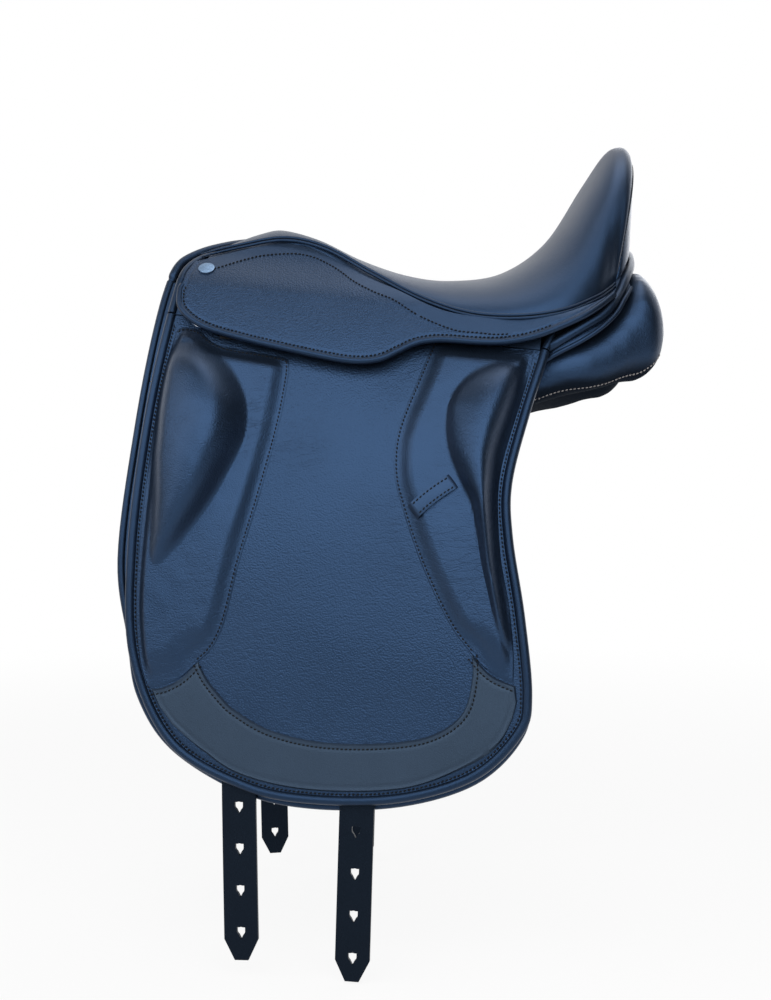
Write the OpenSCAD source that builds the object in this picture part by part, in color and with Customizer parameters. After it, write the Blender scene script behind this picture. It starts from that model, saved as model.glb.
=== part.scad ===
// Dressage saddle built up from its separate leather, foam, wood and steel pieces.
// Millimetres. +X runs to the cantle, -Y is the near (left) side, +Z is up. The origin
// lies on the mid-plane, at the height where the panels bear on a back or a rack.

/* [Flap placing] */
// Half distance between the flap tops at mid length
flap_half = 120; // [116:1:124]
// Height of the flap tops at mid length
flap_top = 64; // [61:1:67]
// Fall of the flap top towards the rear, in degrees
flap_fall = 6.5; // [6:0.5:7]
// Opening of the two flaps towards the rear, in degrees
flap_yaw = 8; // [7.5:0.5:8.5]
// Sideways flare of a flap from its top to its foot
flap_flare = 74; // [70:1:78]
// Height over which the flare dies away
flap_curve = 165; // [158:1:172]

/* [Flap] */
// Reach of the flap in front of the middle
flap_front = 205; // [198:1:212]
// Reach of the flap's lower lobe behind the middle
flap_lobe = 169; // [162:1:176]
// Reach of the flap's waist behind the middle
flap_waist = 131; // [128:1:136]
// Drop of the flap below its top edge
flap_drop = 414; // [400:1:430]
// Thickness of the flap leather
flap_t = 4; // [3:0.5:5]
// Radius of the rolled flap edge
flap_roll_r = 4.2; // [3.5:0.1:4.8]
// Thickness of the sewn-on cover leather
cover_t = 1.8; // [1.2:0.1:2.2]
// Greatest height of the knee block
knee_h = 34; // [26:1:40]
// Greatest height of the thigh block
thigh_h = 26; // [18:1:30]

/* [Sweat flap and billets] */
// Thickness of the sweat flap leather
sweat_t = 4; // [3:0.5:4.5]
// Radius of the rolled sweat flap edge
sweat_roll_r = 3.8; // [3.2:0.1:4.2]
// Depth of the sweat flap's outer face behind the flap
sweat_gap = 10; // [10:0.5:12]
// Width of a girth billet
billet_w = 30; // [25:1:32]
// Thickness of a girth billet
billet_t = 3.5; // [3:0.1:3.8]
// Gap between a billet and the flap
billet_gap = 1.5; // [1.3:0.1:2]
// Length of a billet below its rivet
billet_len = 470; // [440:1:490]
// Spacing of the billet holes
hole_pitch = 36; // [30:1:38]
// Radius of a billet hole
hole_r = 3.6; // [3:0.1:4]
// Radius of the rivet that a billet swings on
web_rivet_r = 3; // [2.5:0.1:3.5]
// Running clearance of every pin in its hole
pin_play = 0.05; // [0.03:0.01:0.08]

/* [Seat] */
// Height of the pommel crest
pommel_z = 182; // [178:1:188]
// Height of the lowest point of the seat
dip_z = 131; // [126:1:136]
// Height of the cantle
cantle_z = 265; // [258:1:274]
// Half width of the seat at its widest
seat_half = 142; // [140:1:144]
// Thickness of the seat leather
seat_t = 2; // [1.5:0.1:2.5]
// Radius of the welt along the seat seam
welt_r = 2; // [1.5:0.1:2.4]

/* [Skirt] */
// Stand-off of the skirt from the flap's inner face
skirt_off = 16; // [15:0.5:18]
// Thickness of the skirt leather
skirt_t = 4; // [3:0.5:4.5]
// Radius of the rolled skirt edge
skirt_roll_r = 3; // [2.5:0.1:3.5]
// Height of the fold that the skirt lifts on, above the flap top
fold_c = 29; // [27:1:30]
// Rear end of the lifting part of the skirt
skirt_rear = 28; // [24:1:30]
// Radius of the head stud
stud_r = 7.5; // [6:0.1:8.5]

/* [Stirrup bar] */
// Front end of the stirrup bar
bar_front = 150; // [148:1:154]
// Length of the stirrup bar up to its catch
bar_len = 62; // [58:1:64]
// Height of the bar's arm
bar_h = 10; // [9:0.5:11]
// Thickness of the bar's arm
bar_t = 8; // [7:0.5:8.5]
// Slot between the arm and its plate, for the stirrup leather
bar_slot = 10; // [9:0.5:10.5]
// Thickness of the bar's plate
plate_t = 4; // [3:0.5:4.5]
// Length of the catch behind its pin
catch_len = 16; // [13:1:18]
// Radius of the catch pin
catch_pin_r = 2; // [1.6:0.1:2.4]

/* [Dee ring] */
// Radius of the dee's bow
dee_r = 12; // [10:0.5:13]
// Radius of the dee's wire
dee_wire = 1.6; // [1.3:0.1:1.9]

/* [Tree and panels] */
// Thickness of the wooden head from front to rear
head_t = 24; // [20:1:26]
// Half width of a tree rail
rail_w = 12; // [9:0.5:13]
// Half height of a tree rail
rail_h = 8; // [6:0.5:8.5]
// Thickness of the steel head plate
head_plate_t = 3; // [2:0.5:4]
// Radius of the tree rivets
rivet_r = 3; // [2.5:0.1:3.5]
// Lowest width of the gullet between the panels, halved
gullet_half = 38; // [36:1:41]

/* [Hidden] */
fit = 0.3;

leather = [0.09, 0.11, 0.15];
leather2 = [0.15, 0.18, 0.24];
foam_c = [0.85, 0.8, 0.6];
wood_c = [0.7, 0.5, 0.3];
steel_c = [0.7, 0.72, 0.75];
web_c = [0.8, 0.78, 0.7];

// Smooth curve through a list of points, k pieces to a stretch
function cr(a, b, c, d, t) =
  0.5 * (2*b + (c - a)*t + (2*a - 5*b + 4*c - d)*t*t + (3*b - a - 3*c + d)*t*t*t);
function pick(P, i) = P[min(max(i, 0), len(P) - 1)];
function spline(P, k) = concat(
  [for (i = [0:len(P) - 2]) for (j = [0:k - 1])
    cr(pick(P, i - 1), P[i], P[i + 1], pick(P, i + 2), j / k)],
  [P[len(P) - 1]]);
function unit(v) = v / norm(v);
function dir(P, i) = unit(pick(P, i + 1) - pick(P, i - 1));
// An open outline moved to its left side by d
function inset(P, d) = [for (i = [0:len(P) - 1]) let (t = dir(P, i)) P[i] + d*[-t[1], t[0]]];
function flip(P) = [for (i = [len(P) - 1:-1:0]) P[i]];
function mean(P) = ([for (p = P) 1] * P) / len(P);
function flat(L) = [for (r = L) for (p = r) p];
function ease(t) = let (u = min(max(t, 0), 1)) u*u*(3 - 2*u);
function twin(P) = concat(P, [for (i = [len(P) - 2:-1:0]) [P[i][0], -P[i][1], P[i][2]]]);

// The leather surface of the near side, in the frame of the flap: a runs to the rear,
// c runs up, and o is the distance outward from the flap's inner face
function q(c) = flap_flare*(exp(c/flap_curve) - 1);
function slope(c) = flap_flare/flap_curve*exp(c/flap_curve);
function lean(c) = atan(slope(c));
function skirt_o(c) = skirt_off - 10*ease((c - fold_c)/40);
function skirt_lean(c) = atan((q(c + 1) - q(c - 1) + skirt_o(c - 1) - skirt_o(c + 1))/2);

module near() {
  translate([0, -flap_half, flap_top]) rotate([0, flap_fall, -flap_yaw]) children();
}
module side(s) {
  if (s > 0) children();
  else mirror([0, 1, 0]) children();
}
function to_world(p) = let (
    x = p[0]*cos(flap_fall) + p[2]*sin(flap_fall),
    z = p[2]*cos(flap_fall) - p[0]*sin(flap_fall))
  [x*cos(flap_yaw) + p[1]*sin(flap_yaw),
   p[1]*cos(flap_yaw) - x*sin(flap_yaw) - flap_half, z + flap_top];

// A layer of leather between two distances, from height c1 to c2
module layer(o1, o2, c1, c2) {
  n = ceil((c2 - c1)/14);
  h = [for (i = [0:n]) c1 + (c2 - c1)*i/n];
  rotate([90, 0, 90]) translate([0, 0, -260]) linear_extrude(520)
    polygon(concat([for (c = h) [q(c) - o1, c]], [for (c = flip(h)) [q(c) - o2, c]]));
}
module cut(P) {
  rotate([90, 0, 0]) translate([0, 0, -150]) linear_extrude(400) polygon(P);
}
module at(a, c, o) {
  translate([a, q(c) - o, c]) rotate([-lean(c), 0, 0]) children();
}

// A closed solid through rings of points, and one between two grids of points
function turn(P, F) = let (
    v = [for (f = F) cross(P[f[0]], P[f[1]]) * P[f[2]]])
  (v * [for (x = v) 1]) > 0 ? [for (f = F) [f[2], f[1], f[0]]] : F;
module loft(R) {
  n = len(R);
  m = len(R[0]);
  P = concat(flat(R), [mean(R[0]), mean(R[n - 1])]);
  F = concat(
    [for (i = [0:n - 2]) for (k = [0:m - 1]) [i*m + k, i*m + (k + 1)%m, (i + 1)*m + (k + 1)%m]],
    [for (i = [0:n - 2]) for (k = [0:m - 1]) [i*m + k, (i + 1)*m + (k + 1)%m, (i + 1)*m + k]],
    [for (k = [0:m - 1]) [n*m, (k + 1)%m, k]],
    [for (k = [0:m - 1]) [n*m + 1, (n - 1)*m + k, (n - 1)*m + (k + 1)%m]]);
  polyhedron(P, turn(P, F));
}
module sheet(A, B) {
  n = len(A);
  m = len(A[0]);
  s = n*m;
  P = concat(flat(A), flat(B));
  F = concat(
    [for (i = [0:n - 2]) for (k = [0:m - 2]) [i*m + k, i*m + k + 1, (i + 1)*m + k + 1]],
    [for (i = [0:n - 2]) for (k = [0:m - 2]) [i*m + k, (i + 1)*m + k + 1, (i + 1)*m + k]],
    [for (i = [0:n - 2]) for (k = [0:m - 2]) [s + i*m + k, s + (i + 1)*m + k + 1, s + i*m + k + 1]],
    [for (i = [0:n - 2]) for (k = [0:m - 2]) [s + i*m + k, s + (i + 1)*m + k, s + (i + 1)*m + k + 1]],
    [for (k = [0:m - 2]) [k, s + k + 1, k + 1]],
    [for (k = [0:m - 2]) [k, s + k, s + k + 1]],
    [for (k = [0:m - 2]) let (b = (n - 1)*m + k) [b, b + 1, s + b + 1]],
    [for (k = [0:m - 2]) let (b = (n - 1)*m + k) [b, s + b + 1, s + b]],
    [for (i = [0:n - 2]) [i*m, (i + 1)*m, s + (i + 1)*m]],
    [for (i = [0:n - 2]) [i*m, s + (i + 1)*m, s + i*m]],
    [for (i = [0:n - 2]) let (b = i*m + m - 1) [b, s + b + m, b + m]],
    [for (i = [0:n - 2]) let (b = i*m + m - 1) [b, s + b, s + b + m]]);
  polyhedron(P, turn(P, F));
}
// Rolled edges: a tube on the leather surface, and one through free points
module edge_roll(P, o, r) {
  loft([for (i = [0:len(P) - 1]) let (t = dir(P, i), d = is_num(o) ? o : o[i])
    [for (k = [0:5]) let (w = 60*k + 30)
      [P[i][0] - r*cos(w)*t[1], q(P[i][1]) - d - r*sin(w), P[i][1] + r*cos(w)*t[0]]]]);
}
module tube(P, r, m) {
  loft([for (i = [0:len(P) - 1]) let (
      t = dir(P, i), u = unit(cross(t, [0.1, 0.2, 1])), v = cross(u, t))
    [for (k = [0:m - 1]) let (w = 360*(k + 0.5)/m) P[i] + r*(cos(w)*u + sin(w)*v)]]);
}

// Outline of the flap, from its front top round the foot to its rear top
flap_line = spline([
  [-flap_front, 40], [-flap_front, 0], [-flap_front, -100], [-flap_front + 5, -220],
  [-184, -312], [-140, -381], [-71, 4 - flap_drop], [-10, -flap_drop], [68, 12 - flap_drop],
  [131, -373], [flap_lobe - 4, -331], [flap_lobe, -297], [flap_lobe - 14, -231],
  [flap_waist + 6, -166], [flap_waist, -120], [139, -57], [149, 0], [150, 40]], 4);
sweat_line = spline([
  [-flap_front - 14.5, 34], [-flap_front - 15, 0], [-flap_front - 12.5, -110],
  [-flap_front - 8, -228], [-194, -296], [-178, -346], [-141, -388.5], [-74, -3 - flap_drop],
  [-10, -8 - flap_drop], [68, 5 - flap_drop], [131, -380], [flap_lobe - 4, -337],
  [flap_lobe - 2, -297], [flap_lobe - 16, -231], [flap_waist + 4, -166], [flap_waist - 2, -125],
  [133, -75]], 3);
skirt_line = spline([
  [-196, fold_c], [-197, 22], [-191, 6], [-168, -9], [-129, -17], [-72, -24], [-26, -27],
  [1, -22], [skirt_rear - 9, -11], [skirt_rear, -5]], 3);
tail_line = spline([
  [skirt_rear + 3, -4], [52, -2], [88, -2], [112, 1], [139, 10], [172, 29], [189, 43], [202, 58]], 3);
seam_line = spline([
  [-190, 54], [-170, 62], [-135, 76], [-100, 82], [-77, 77], [-34, 57], [6, 43], [46, 28],
  [83, 24], [119, 25], [154, 34], [184, 50], [198, 61]], 3);

module flap(s) color(leather) side(s) near() difference() {
  intersection() {
    layer(0, flap_t, -flap_drop - 30, -fit);
    cut(inset(flap_line, 2*flap_roll_r + fit));
  }
  cut([[-bar_front - 6, -27], [bar_len - bar_front + 24, -27], [bar_len - bar_front + 24, 20],
    [-bar_front - 6, 20]]);
}
module flap_roll(s) color(leather) side(s) near() edge_roll(concat(
  [[flap_roll_r - flap_front, -1.5]], [for (p = inset(flap_line, flap_roll_r)) if (p[1] < -7) p]),
  flap_roll_r - 1, flap_roll_r);
// The roll goes on above the lifting line, up to the pommel
module flap_root(s) color(leather) side(s) near() {
  intersection() {
    layer(0, flap_t, fit, fold_c);
    cut([[-flap_front + 6, 0], [-bar_front - 8, 0], [-bar_front - 8, 22],
      [bar_len - bar_front + 26, 22], [bar_len - bar_front + 26, 0], [140, 0], [140, 14],
      [60, 22], [20, 34], [-flap_front + 6, 34]]);
  }
  edge_roll([for (c = [34, 23, 12, 1.5]) [flap_roll_r - flap_front, c]], flap_roll_r - 1, flap_roll_r);
}

knee_line = spline([
  [-191, -28], [-186, -23], [-129, -27], [-88, -30], [-81, -36], [-81, -97], [-88, -156],
  [-97, -214], [-103, -267], [-112, -293], [-122, -305]], 3);
knee_rest = [[-140, -325], [-165, -335], [-175, -312], [-185, -262], [-190, -200], [-194, -110],
  [-194, -40]];
thigh_line = spline([
  [45, -4], [36, -39], [27, -76], [26, -112], [36, -146], [60, -195], [90, -243], [113, -268],
  [132, -282], [154, -289]], 3);
thigh_rest = [[flap_lobe - 19, -262], [flap_lobe - 28, -225], [flap_waist - 2, -185],
  [flap_waist - 11, -140], [flap_waist - 11, -110], [124, -80], [131, -40], [136, -4]];
patch_line = spline([
  [-160, -336], [-150, -333], [-131, -320], [-123, -309], [-112, -321], [-84, -344], [-51, -357],
  [-6, -361], [46, -355], [87, -343], [112, -320], [117, -290], [114, -272], [132, -286],
  [flap_lobe - 16, -293]], 3);
patch_rest = [[flap_lobe - 15, -318], [flap_lobe - 24, -342], [120, -364], [68, 24 - flap_drop],
  [-10, 12 - flap_drop], [-71, 16 - flap_drop], [-108, -382], [-138, -363]];

module cover(P) intersection() {
  layer(flap_t + 0.2, flap_t + 0.2 + cover_t, -flap_drop, -3);
  cut(P);
}
module knee_cover(s) color(leather2) side(s) near() cover(concat(knee_line, knee_rest));
module thigh_cover(s) color(leather2) side(s) near() cover(concat(thigh_line, thigh_rest));
module flap_patch(s) color(leather) side(s) near() cover(concat(patch_line, patch_rest));

// A padded block on the covers; rows hold height, front edge, rear edge and share of h
block_o = flap_t + 0.2 + cover_t + fit;
module block(rows, h) {
  S = spline(rows, 2);
  loft([for (r = S) [for (k = [0:10]) let (t = k/10)
    [r[1] + (r[2] - r[1])*(0.5 - 0.5*cos(180*t)),
     q(r[0]) - block_o - h*r[3]*pow(max(sin(180*t), 0), 0.7), r[0]]]]);
}
module knee_block(s) color(leather2) side(s) near() block([
  [-29, -188, -166, 0.15], [-37, -191, -147, 0.55], [-52, -192, -129, 0.78],
  [-73, -191, -114, 0.94], [-93, -190, -109, 1], [-110, -188, -110, 1], [-132, -186, -117, 0.94],
  [-155, -182, -126, 0.84], [-179, -179, -138, 0.68], [-203, -177, -153, 0.46],
  [-222, -176, -166, 0.22], [-229, -175, -170, 0.1]], knee_h);
module thigh_block(s) color(leather2) side(s) near() block([
  [-15, 103, 120, 0.15], [-24, 88, 127, 0.5], [-40, 73, 127, 0.8], [-62, 66, 123, 0.95],
  [-92, 71, 117, 1], [-119, 85, 116, 1], [-142, 100, 117, 0.95], [-180, 111, 124, 0.75],
  [-215, 122, 133, 0.55], [-246, 133, 143, 0.3], [-258, 140, 146, 0.12]], thigh_h);

keeper_in = 3.8;
module keeper(s) color(leather) side(s) near()
  at(64, -140, block_o) rotate([0, -44, 0]) rotate([90, 0, 0]) difference() {
    translate([-19, -7.5, 0]) cube([38, 15, keeper_in + 2]);
    translate([-14, -9, -1]) cube([28, 18, keeper_in + 1]);
  }

module skirt(s) color(leather) side(s) near() intersection() {
  layer(skirt_off, skirt_off + skirt_t, -60, fold_c - fit);
  cut(concat(inset(skirt_line, 2*skirt_roll_r + 0.1),
    [[skirt_rear, 2*skirt_roll_r - 4], [skirt_rear, fold_c], [0, fold_c + 10], [-180, fold_c + 10]]));
}
module skirt_roll(s) color(leather) side(s) near() edge_roll(
  [for (p = inset(skirt_line, skirt_roll_r)) if (p[1] < fold_c - 3) p],
  skirt_off + skirt_t/2, skirt_roll_r);
tail_roll = [for (p = inset(tail_line, skirt_roll_r)) if (p[0] < 188) p];
module skirt_root(s) color(leather) side(s) near() difference() {
  union() {
    edge_roll(tail_roll, [for (p = tail_roll) skirt_o(p[1]) + skirt_t/2], skirt_roll_r);
    skirt_top();
  }
  stud_place() cylinder(r = 1, h = 40, center = true, $fn = 24);
}
module skirt_top() intersection() {
  rotate([90, 0, 90]) translate([0, 0, -260]) linear_extrude(520) polygon(concat(
    [for (c = [-8:6:100]) [q(c) - skirt_o(c), c]],
    [for (c = [100:-6:-8]) [q(c) - skirt_o(c) - skirt_t, c]]));
  cut(concat(flip(seam_line), [[-192, fold_c + fit], [skirt_rear + 0.6, fold_c + fit]],
    [for (p = inset(tail_line, skirt_roll_r + 0.6)) if (p[0] < 186) p]));
}

stud_a = -176;
stud_c = 47;
module stud_place() {
  translate([stud_a, q(stud_c) - skirt_o(stud_c) - skirt_t - 0.4, stud_c])
    rotate([90 - skirt_lean(stud_c), 0, 0]) children();
}
module stud() {
  rotate_extrude($fn = 48) intersection() {
    translate([0, 2.6 - 2.6*stud_r]) circle(r = 2.6*stud_r, $fn = 96);
    square([stud_r, 6]);
  }
  translate([0, 0, -3]) cylinder(r = 1, h = 3.1, $fn = 24);
}
module head_studs() color(steel_c) {
  for (s = [1, -1]) side(s) near() stud_place() stud();
}

// Sweat flap: it stays below the stirrup bar, and a strip of it runs up the front
sweat_o = -sweat_gap - sweat_t;
module sweat_flap(s) color(leather2) side(s) near() intersection() {
  layer(sweat_o, -sweat_gap, -flap_drop - 30, 36);
  cut(concat(inset(sweat_line, 2*sweat_roll_r + fit), [[110, -66], [20, -62], [-160, -58],
    [-188, -46], [-196, 33]]));
}
module sweat_roll(s) color(leather2) side(s) near() edge_roll(
  inset(sweat_line, sweat_roll_r), -sweat_gap - sweat_t/2, sweat_roll_r);

// Girth billets hang plumb from a rivet in a web that is nailed to the rail
billet_rake = 7.9;
front_a = -118;
front_c = -92;
rear_a = 3.2;
rear_c = -92;
billet_o = -billet_gap - billet_t;
module hang(a, c, rake) {
  translate([a, 0, c]) rotate([0, -rake, 0]) children();
}
module hole_shape() {
  circle(r = hole_r, $fn = 32);
  translate([-hole_r, 0]) square([2*hole_r, 0.9*hole_r]);
  polygon([[-hole_r, 0], [hole_r, 0], [0, -1.9*hole_r]]);
}
module billet(s, a, c, rake, first) color(leather) side(s) near() difference() {
  intersection() {
    layer(billet_o, -billet_gap, -billet_len - 120, -40);
    hang(a, c, rake) rotate([90, 0, 0]) translate([0, 0, -150]) linear_extrude(400) difference() {
      polygon([[-billet_w/2, 20], [billet_w/2, 20], [billet_w/2, 18 - billet_len],
        [6, -billet_len], [-6, -billet_len], [-billet_w/2, 18 - billet_len]]);
      for (i = [0:3]) translate([0, first - i*hole_pitch]) hole_shape();
    }
  }
  translate([a, 0, c]) rotate([90, 0, 0])
    cylinder(r = web_rivet_r + pin_play, h = 200, center = true, $fn = 48);
}
module girth_webs() color(web_c) for (s = [1, -1]) side(s) near() difference() {
  intersection() {
    union() {
      layer(billet_o - 4, billet_o - 0.9, -112, 14);
      layer(billet_o - 9, billet_o - 3.9, 0, 14);
    }
    union() {
      cut([[front_a - 21, -108], [front_a + 21, -108], [-30, -10], [-30, 12], [-66, 12], [-70, -12]]);
      cut([[rear_a - 21, -108], [rear_a + 21, -108], [rear_a + 24, 12], [rear_a - 16, 12]]);
    }
  }
  for (p = [[front_a, front_c], [rear_a, rear_c]]) translate([p[0], 0, p[1]]) rotate([90, 0, 0])
    cylinder(r = web_rivet_r, h = 200, center = true, $fn = 48);
}
module web_rivets() color(steel_c) for (s = [1, -1]) side(s) near()
  for (p = [[front_a, front_c], [rear_a, rear_c]]) {
    y = q(p[1]);
    translate([p[0], y - billet_o + 4.4, p[1]]) rotate([90, 0, 0])
      cylinder(r = web_rivet_r, h = billet_t + 4.4, $fn = 48);
  }

// Stirrup bar: plate on the rail, arm outside it, catch on the arm's open end
bar_c = -10;
arm_y = bar_t - 1;
plate_y = bar_slot + 1;
pin_a = bar_len - bar_front - 4;
bar_tilt = 12;
module bar_at() {
  translate([0, q(bar_c), bar_c]) rotate([-bar_tilt, 0, 0]) children();
}
// Rib behind the plate that lies on the tree rail
rib_t = 5.3;
module stirrup_bar(s) color(steel_c) side(s) near() bar_at() difference() {
  union() {
    translate([-bar_front, -arm_y, -bar_h]) cube([8, arm_y + plate_y + plate_t, bar_h]);
    translate([-bar_front, -arm_y, -bar_h]) cube([bar_len - 10, bar_t, bar_h]);
    translate([-bar_front, -arm_y, -bar_h]) cube([bar_len + 1, bar_t/2 - 0.1, bar_h]);
    translate([-bar_front, plate_y, -14]) cube([bar_len, plate_t, 38]);
    translate([-bar_front, plate_y + plate_t - 0.1, 9]) cube([bar_len, rib_t, 15]);
  }
  translate([pin_a, 0, -bar_h/2]) rotate([90, 0, 0])
    cylinder(r = catch_pin_r, h = 40, center = true, $fn = 48);
  for (a = [-bar_front + 12, -bar_front + bar_len - 12]) translate([a, 0, 17]) rotate([90, 0, 0])
    cylinder(r = rivet_r, h = 60, center = true, $fn = 48);
}
module catch_pins() color(steel_c) for (s = [1, -1]) side(s) near() bar_at()
  translate([pin_a, bar_t - arm_y + 0.1, -bar_h/2]) rotate([90, 0, 0])
    cylinder(r = catch_pin_r, h = bar_t + 0.2, $fn = 48);
module stirrup_catch(s) color(steel_c) side(s) near() bar_at()
  translate([pin_a, -arm_y + bar_t/2 + 0.1, -bar_h/2]) difference() {
    union() {
      rotate([-90, 0, 0]) cylinder(r = bar_h/2 - 0.5, h = bar_t/2 - 0.1, $fn = 48);
      translate([0, 0, 0.5 - bar_h/2]) cube([catch_len, bar_t/2 - 0.1, bar_h - 1]);
    }
    rotate([90, 0, 0]) cylinder(r = catch_pin_r + pin_play, h = 40, center = true, $fn = 48);
  }
module bar_rivets() color(steel_c) for (s = [1, -1]) side(s) near() bar_at()
  for (a = [-bar_front + 12, -bar_front + bar_len - 12]) translate([a, 0, 17]) rotate([90, 0, 0]) {
    translate([0, 0, 0.1 - plate_y - plate_t - rib_t])
      cylinder(r = rivet_r, h = plate_t + rib_t, $fn = 48);
    translate([0, 0, -plate_y + 0.05]) cylinder(r = rivet_r + 1.5, h = 1.8, $fn = 48);
  }

// Dee ring under the front of the skirt, in a leather chape on the flap root
dee_a = -168;
dee_c = 1.5;
dee_o = flap_t + 1.4 + dee_wire + 1.6;
module dee_place() {
  at(dee_a, dee_c, dee_o) children();
}
module dee_chapes() color(leather) for (s = [1, -1]) side(s) near() difference() {
  union() {
    dee_place() rotate([0, 90, 0]) cylinder(r = dee_wire + 1.6, h = 14, center = true, $fn = 48);
    intersection() {
      layer(flap_t + 0.2, flap_t + 1.7, dee_c - 2, dee_c + 20);
      cut([[dee_a - 7, dee_c - 2], [dee_a + 7, dee_c - 2], [dee_a + 7, dee_c + 18],
        [dee_a - 7, dee_c + 18]]);
    }
  }
  dee_place() rotate([0, 90, 0]) cylinder(r = dee_wire + pin_play, h = 40, center = true, $fn = 48);
}
module dee_ring(s) color(steel_c) side(s) near() dee_place() {
  rotate([0, 90, 0]) cylinder(r = dee_wire, h = 2*dee_r, center = true, $fn = 48);
  rotate([90, 0, 0]) rotate([0, 0, 180]) rotate_extrude(angle = 180, $fn = 72)
    translate([dee_r, 0]) circle(r = dee_wire, $fn = 32);
}

// Seat: rows hold crown x, crown z, seam x, seam half width and seam z
seat_rows = spline([
  [-133, pommel_z - 8, -178, 52, 147], [-118, pommel_z - 2, -140, 62, 154],
  [-100, pommel_z, -96, 68, 160], [-65, pommel_z - 11, -57, 78, 150],
  [-25, dip_z + 20, -14, 96, 124], [20, dip_z + 5, 32, seat_half - 26, 97],
  [62, dip_z, 76, seat_half - 10, 80], [112, dip_z + 7, 120, seat_half, 76],
  [158, dip_z + 39, 160, seat_half - 4, 82], [195, cantle_z - 39, 190, seat_half - 18, 95],
  [217, cantle_z - 7, 203, seat_half - 30, 104], [231, cantle_z, 208, seat_half - 36, 108],
  [241, cantle_z - 6, 211, seat_half - 39, 111], [244, cantle_z - 20, 212.5, seat_half - 43, 114]], 2);
function crown(i) = [seat_rows[i][0], seat_rows[i][1]];
crowns = [for (i = [0:len(seat_rows) - 1]) crown(i)];
function power(v, p) = sign(v)*pow(abs(v), p);
// A point of the seat at angle w from the near seam, t inside the leather, height share b;
// over the last rows, which turn round the back of the cantle, inside is to the front
function seat_pt(i, w, t, b) = let (
    r = seat_rows[i], d = dir(crowns, i), p = 1.3 - 0.35*i/last_row, s = pow(max(sin(w), 0), p),
    e = ease((i - last_row + 6)/5), x = r[2] - 1.5*e*t,
    cx = r[0] + t*d[1], cz = r[1] - t*d[0])
  [x + (cx - x)*b*s, -(r[3] - (1.4 - e)*t)*power(cos(w), p), r[4] + (cz - r[4])*b*s];
seat_w = [for (k = [0:16]) 180*k/16];
function seat_grid(t, b, i0, i1) = [for (i = [i0:i1]) [for (w = seat_w) seat_pt(i, w, t, b)]];
last_row = len(seat_rows) - 1;
module seat_cover() color(leather) sheet(seat_grid(0, 1, 0, last_row), seat_grid(seat_t, 1, 0, last_row));
module seat_foam() color(foam_c)
  sheet(seat_grid(seat_t + 0.6, 1, 3, last_row - 1), seat_grid(seat_t + 0.6, 0.3, 3, last_row - 1));
module seat_welt(s) color(leather) side(s) tube(
  [for (i = [1:last_row - 8]) seat_pt(i, 0, 0, 1) + [0, -welt_r - 0.4, welt_r + 0.4]], welt_r, 6);

// Back of the cantle, from the rim down to the roll round its base
function base_pt(k) = let (w = seat_w[k])
  [207 + 30*pow(sin(w), 0.8), -(seat_half - 40)*cos(w), 116 + 52*pow(sin(w), 1.4)];
function back_pt(j, k, t) = let (
    a = seat_pt(last_row, seat_w[k], 0, 1), b = base_pt(k), u = j/5)
  a + (b - a)*u + [2.8 - t, 0, 0];
roll_path = twin(spline([[152, -141, 55], [174, -139, 68], [193, -133, 79.5], [205, -125, 91],
  [214, -113, 104], [222, -98, 120], [231, -70, 136], [236, -36, 152], [239, 0, 160]], 2));
roll_r = 4.6;
module cantle_roll() color(leather) tube(roll_path, roll_r, 8);
// The back runs down to the roll, and below the roll an apron closes the tree's rear
apron_top = [for (p = roll_path) if (abs(p[1]) < 72) p - [1.5, 0, roll_r + 0.8]];
apron_foot = [for (p = apron_top)
  [p[0] - 5, p[1], 121.5 - 22*max(0, 1 - pow(p[1]/45, 2))]];
module cantle_back() color(leather) {
  sheet([for (j = [0:5]) [for (k = [1:15]) back_pt(j, k, 0)]],
    [for (j = [0:5]) [for (k = [1:15]) back_pt(j, k, 2)]]);
  sheet([apron_top, apron_foot],
    [[for (p = apron_top) p - [2, 0, 0]], [for (p = apron_foot) p - [2, 0, 0]]]);
}

// Pommel: the roll round the cut-back head and the lining below it
pommel_path = spline([[-204, -61, 128.5], [-195, -51, 143.5], [-176, -38, 155.5], [-154, -20, 165],
  [-137.5, 0, 171.5]], 3);
module pommel_roll() color(leather) tube(twin(pommel_path), 4.5, 8);
module pommel_lining() color(leather2) {
  A = twin(pommel_path);
  O = [for (p = A) p + [1, -2.4*sign(p[1]), -4.3]];
  I = [for (p = A) [p[0]*0.6 - 62, p[1]*0.8, p[2]*0.62 + 36]];
  sheet([O, I], [O + [for (p = O) [2, 0, 0]], I + [for (p = I) [2, 0, 0]]]);
}

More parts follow.
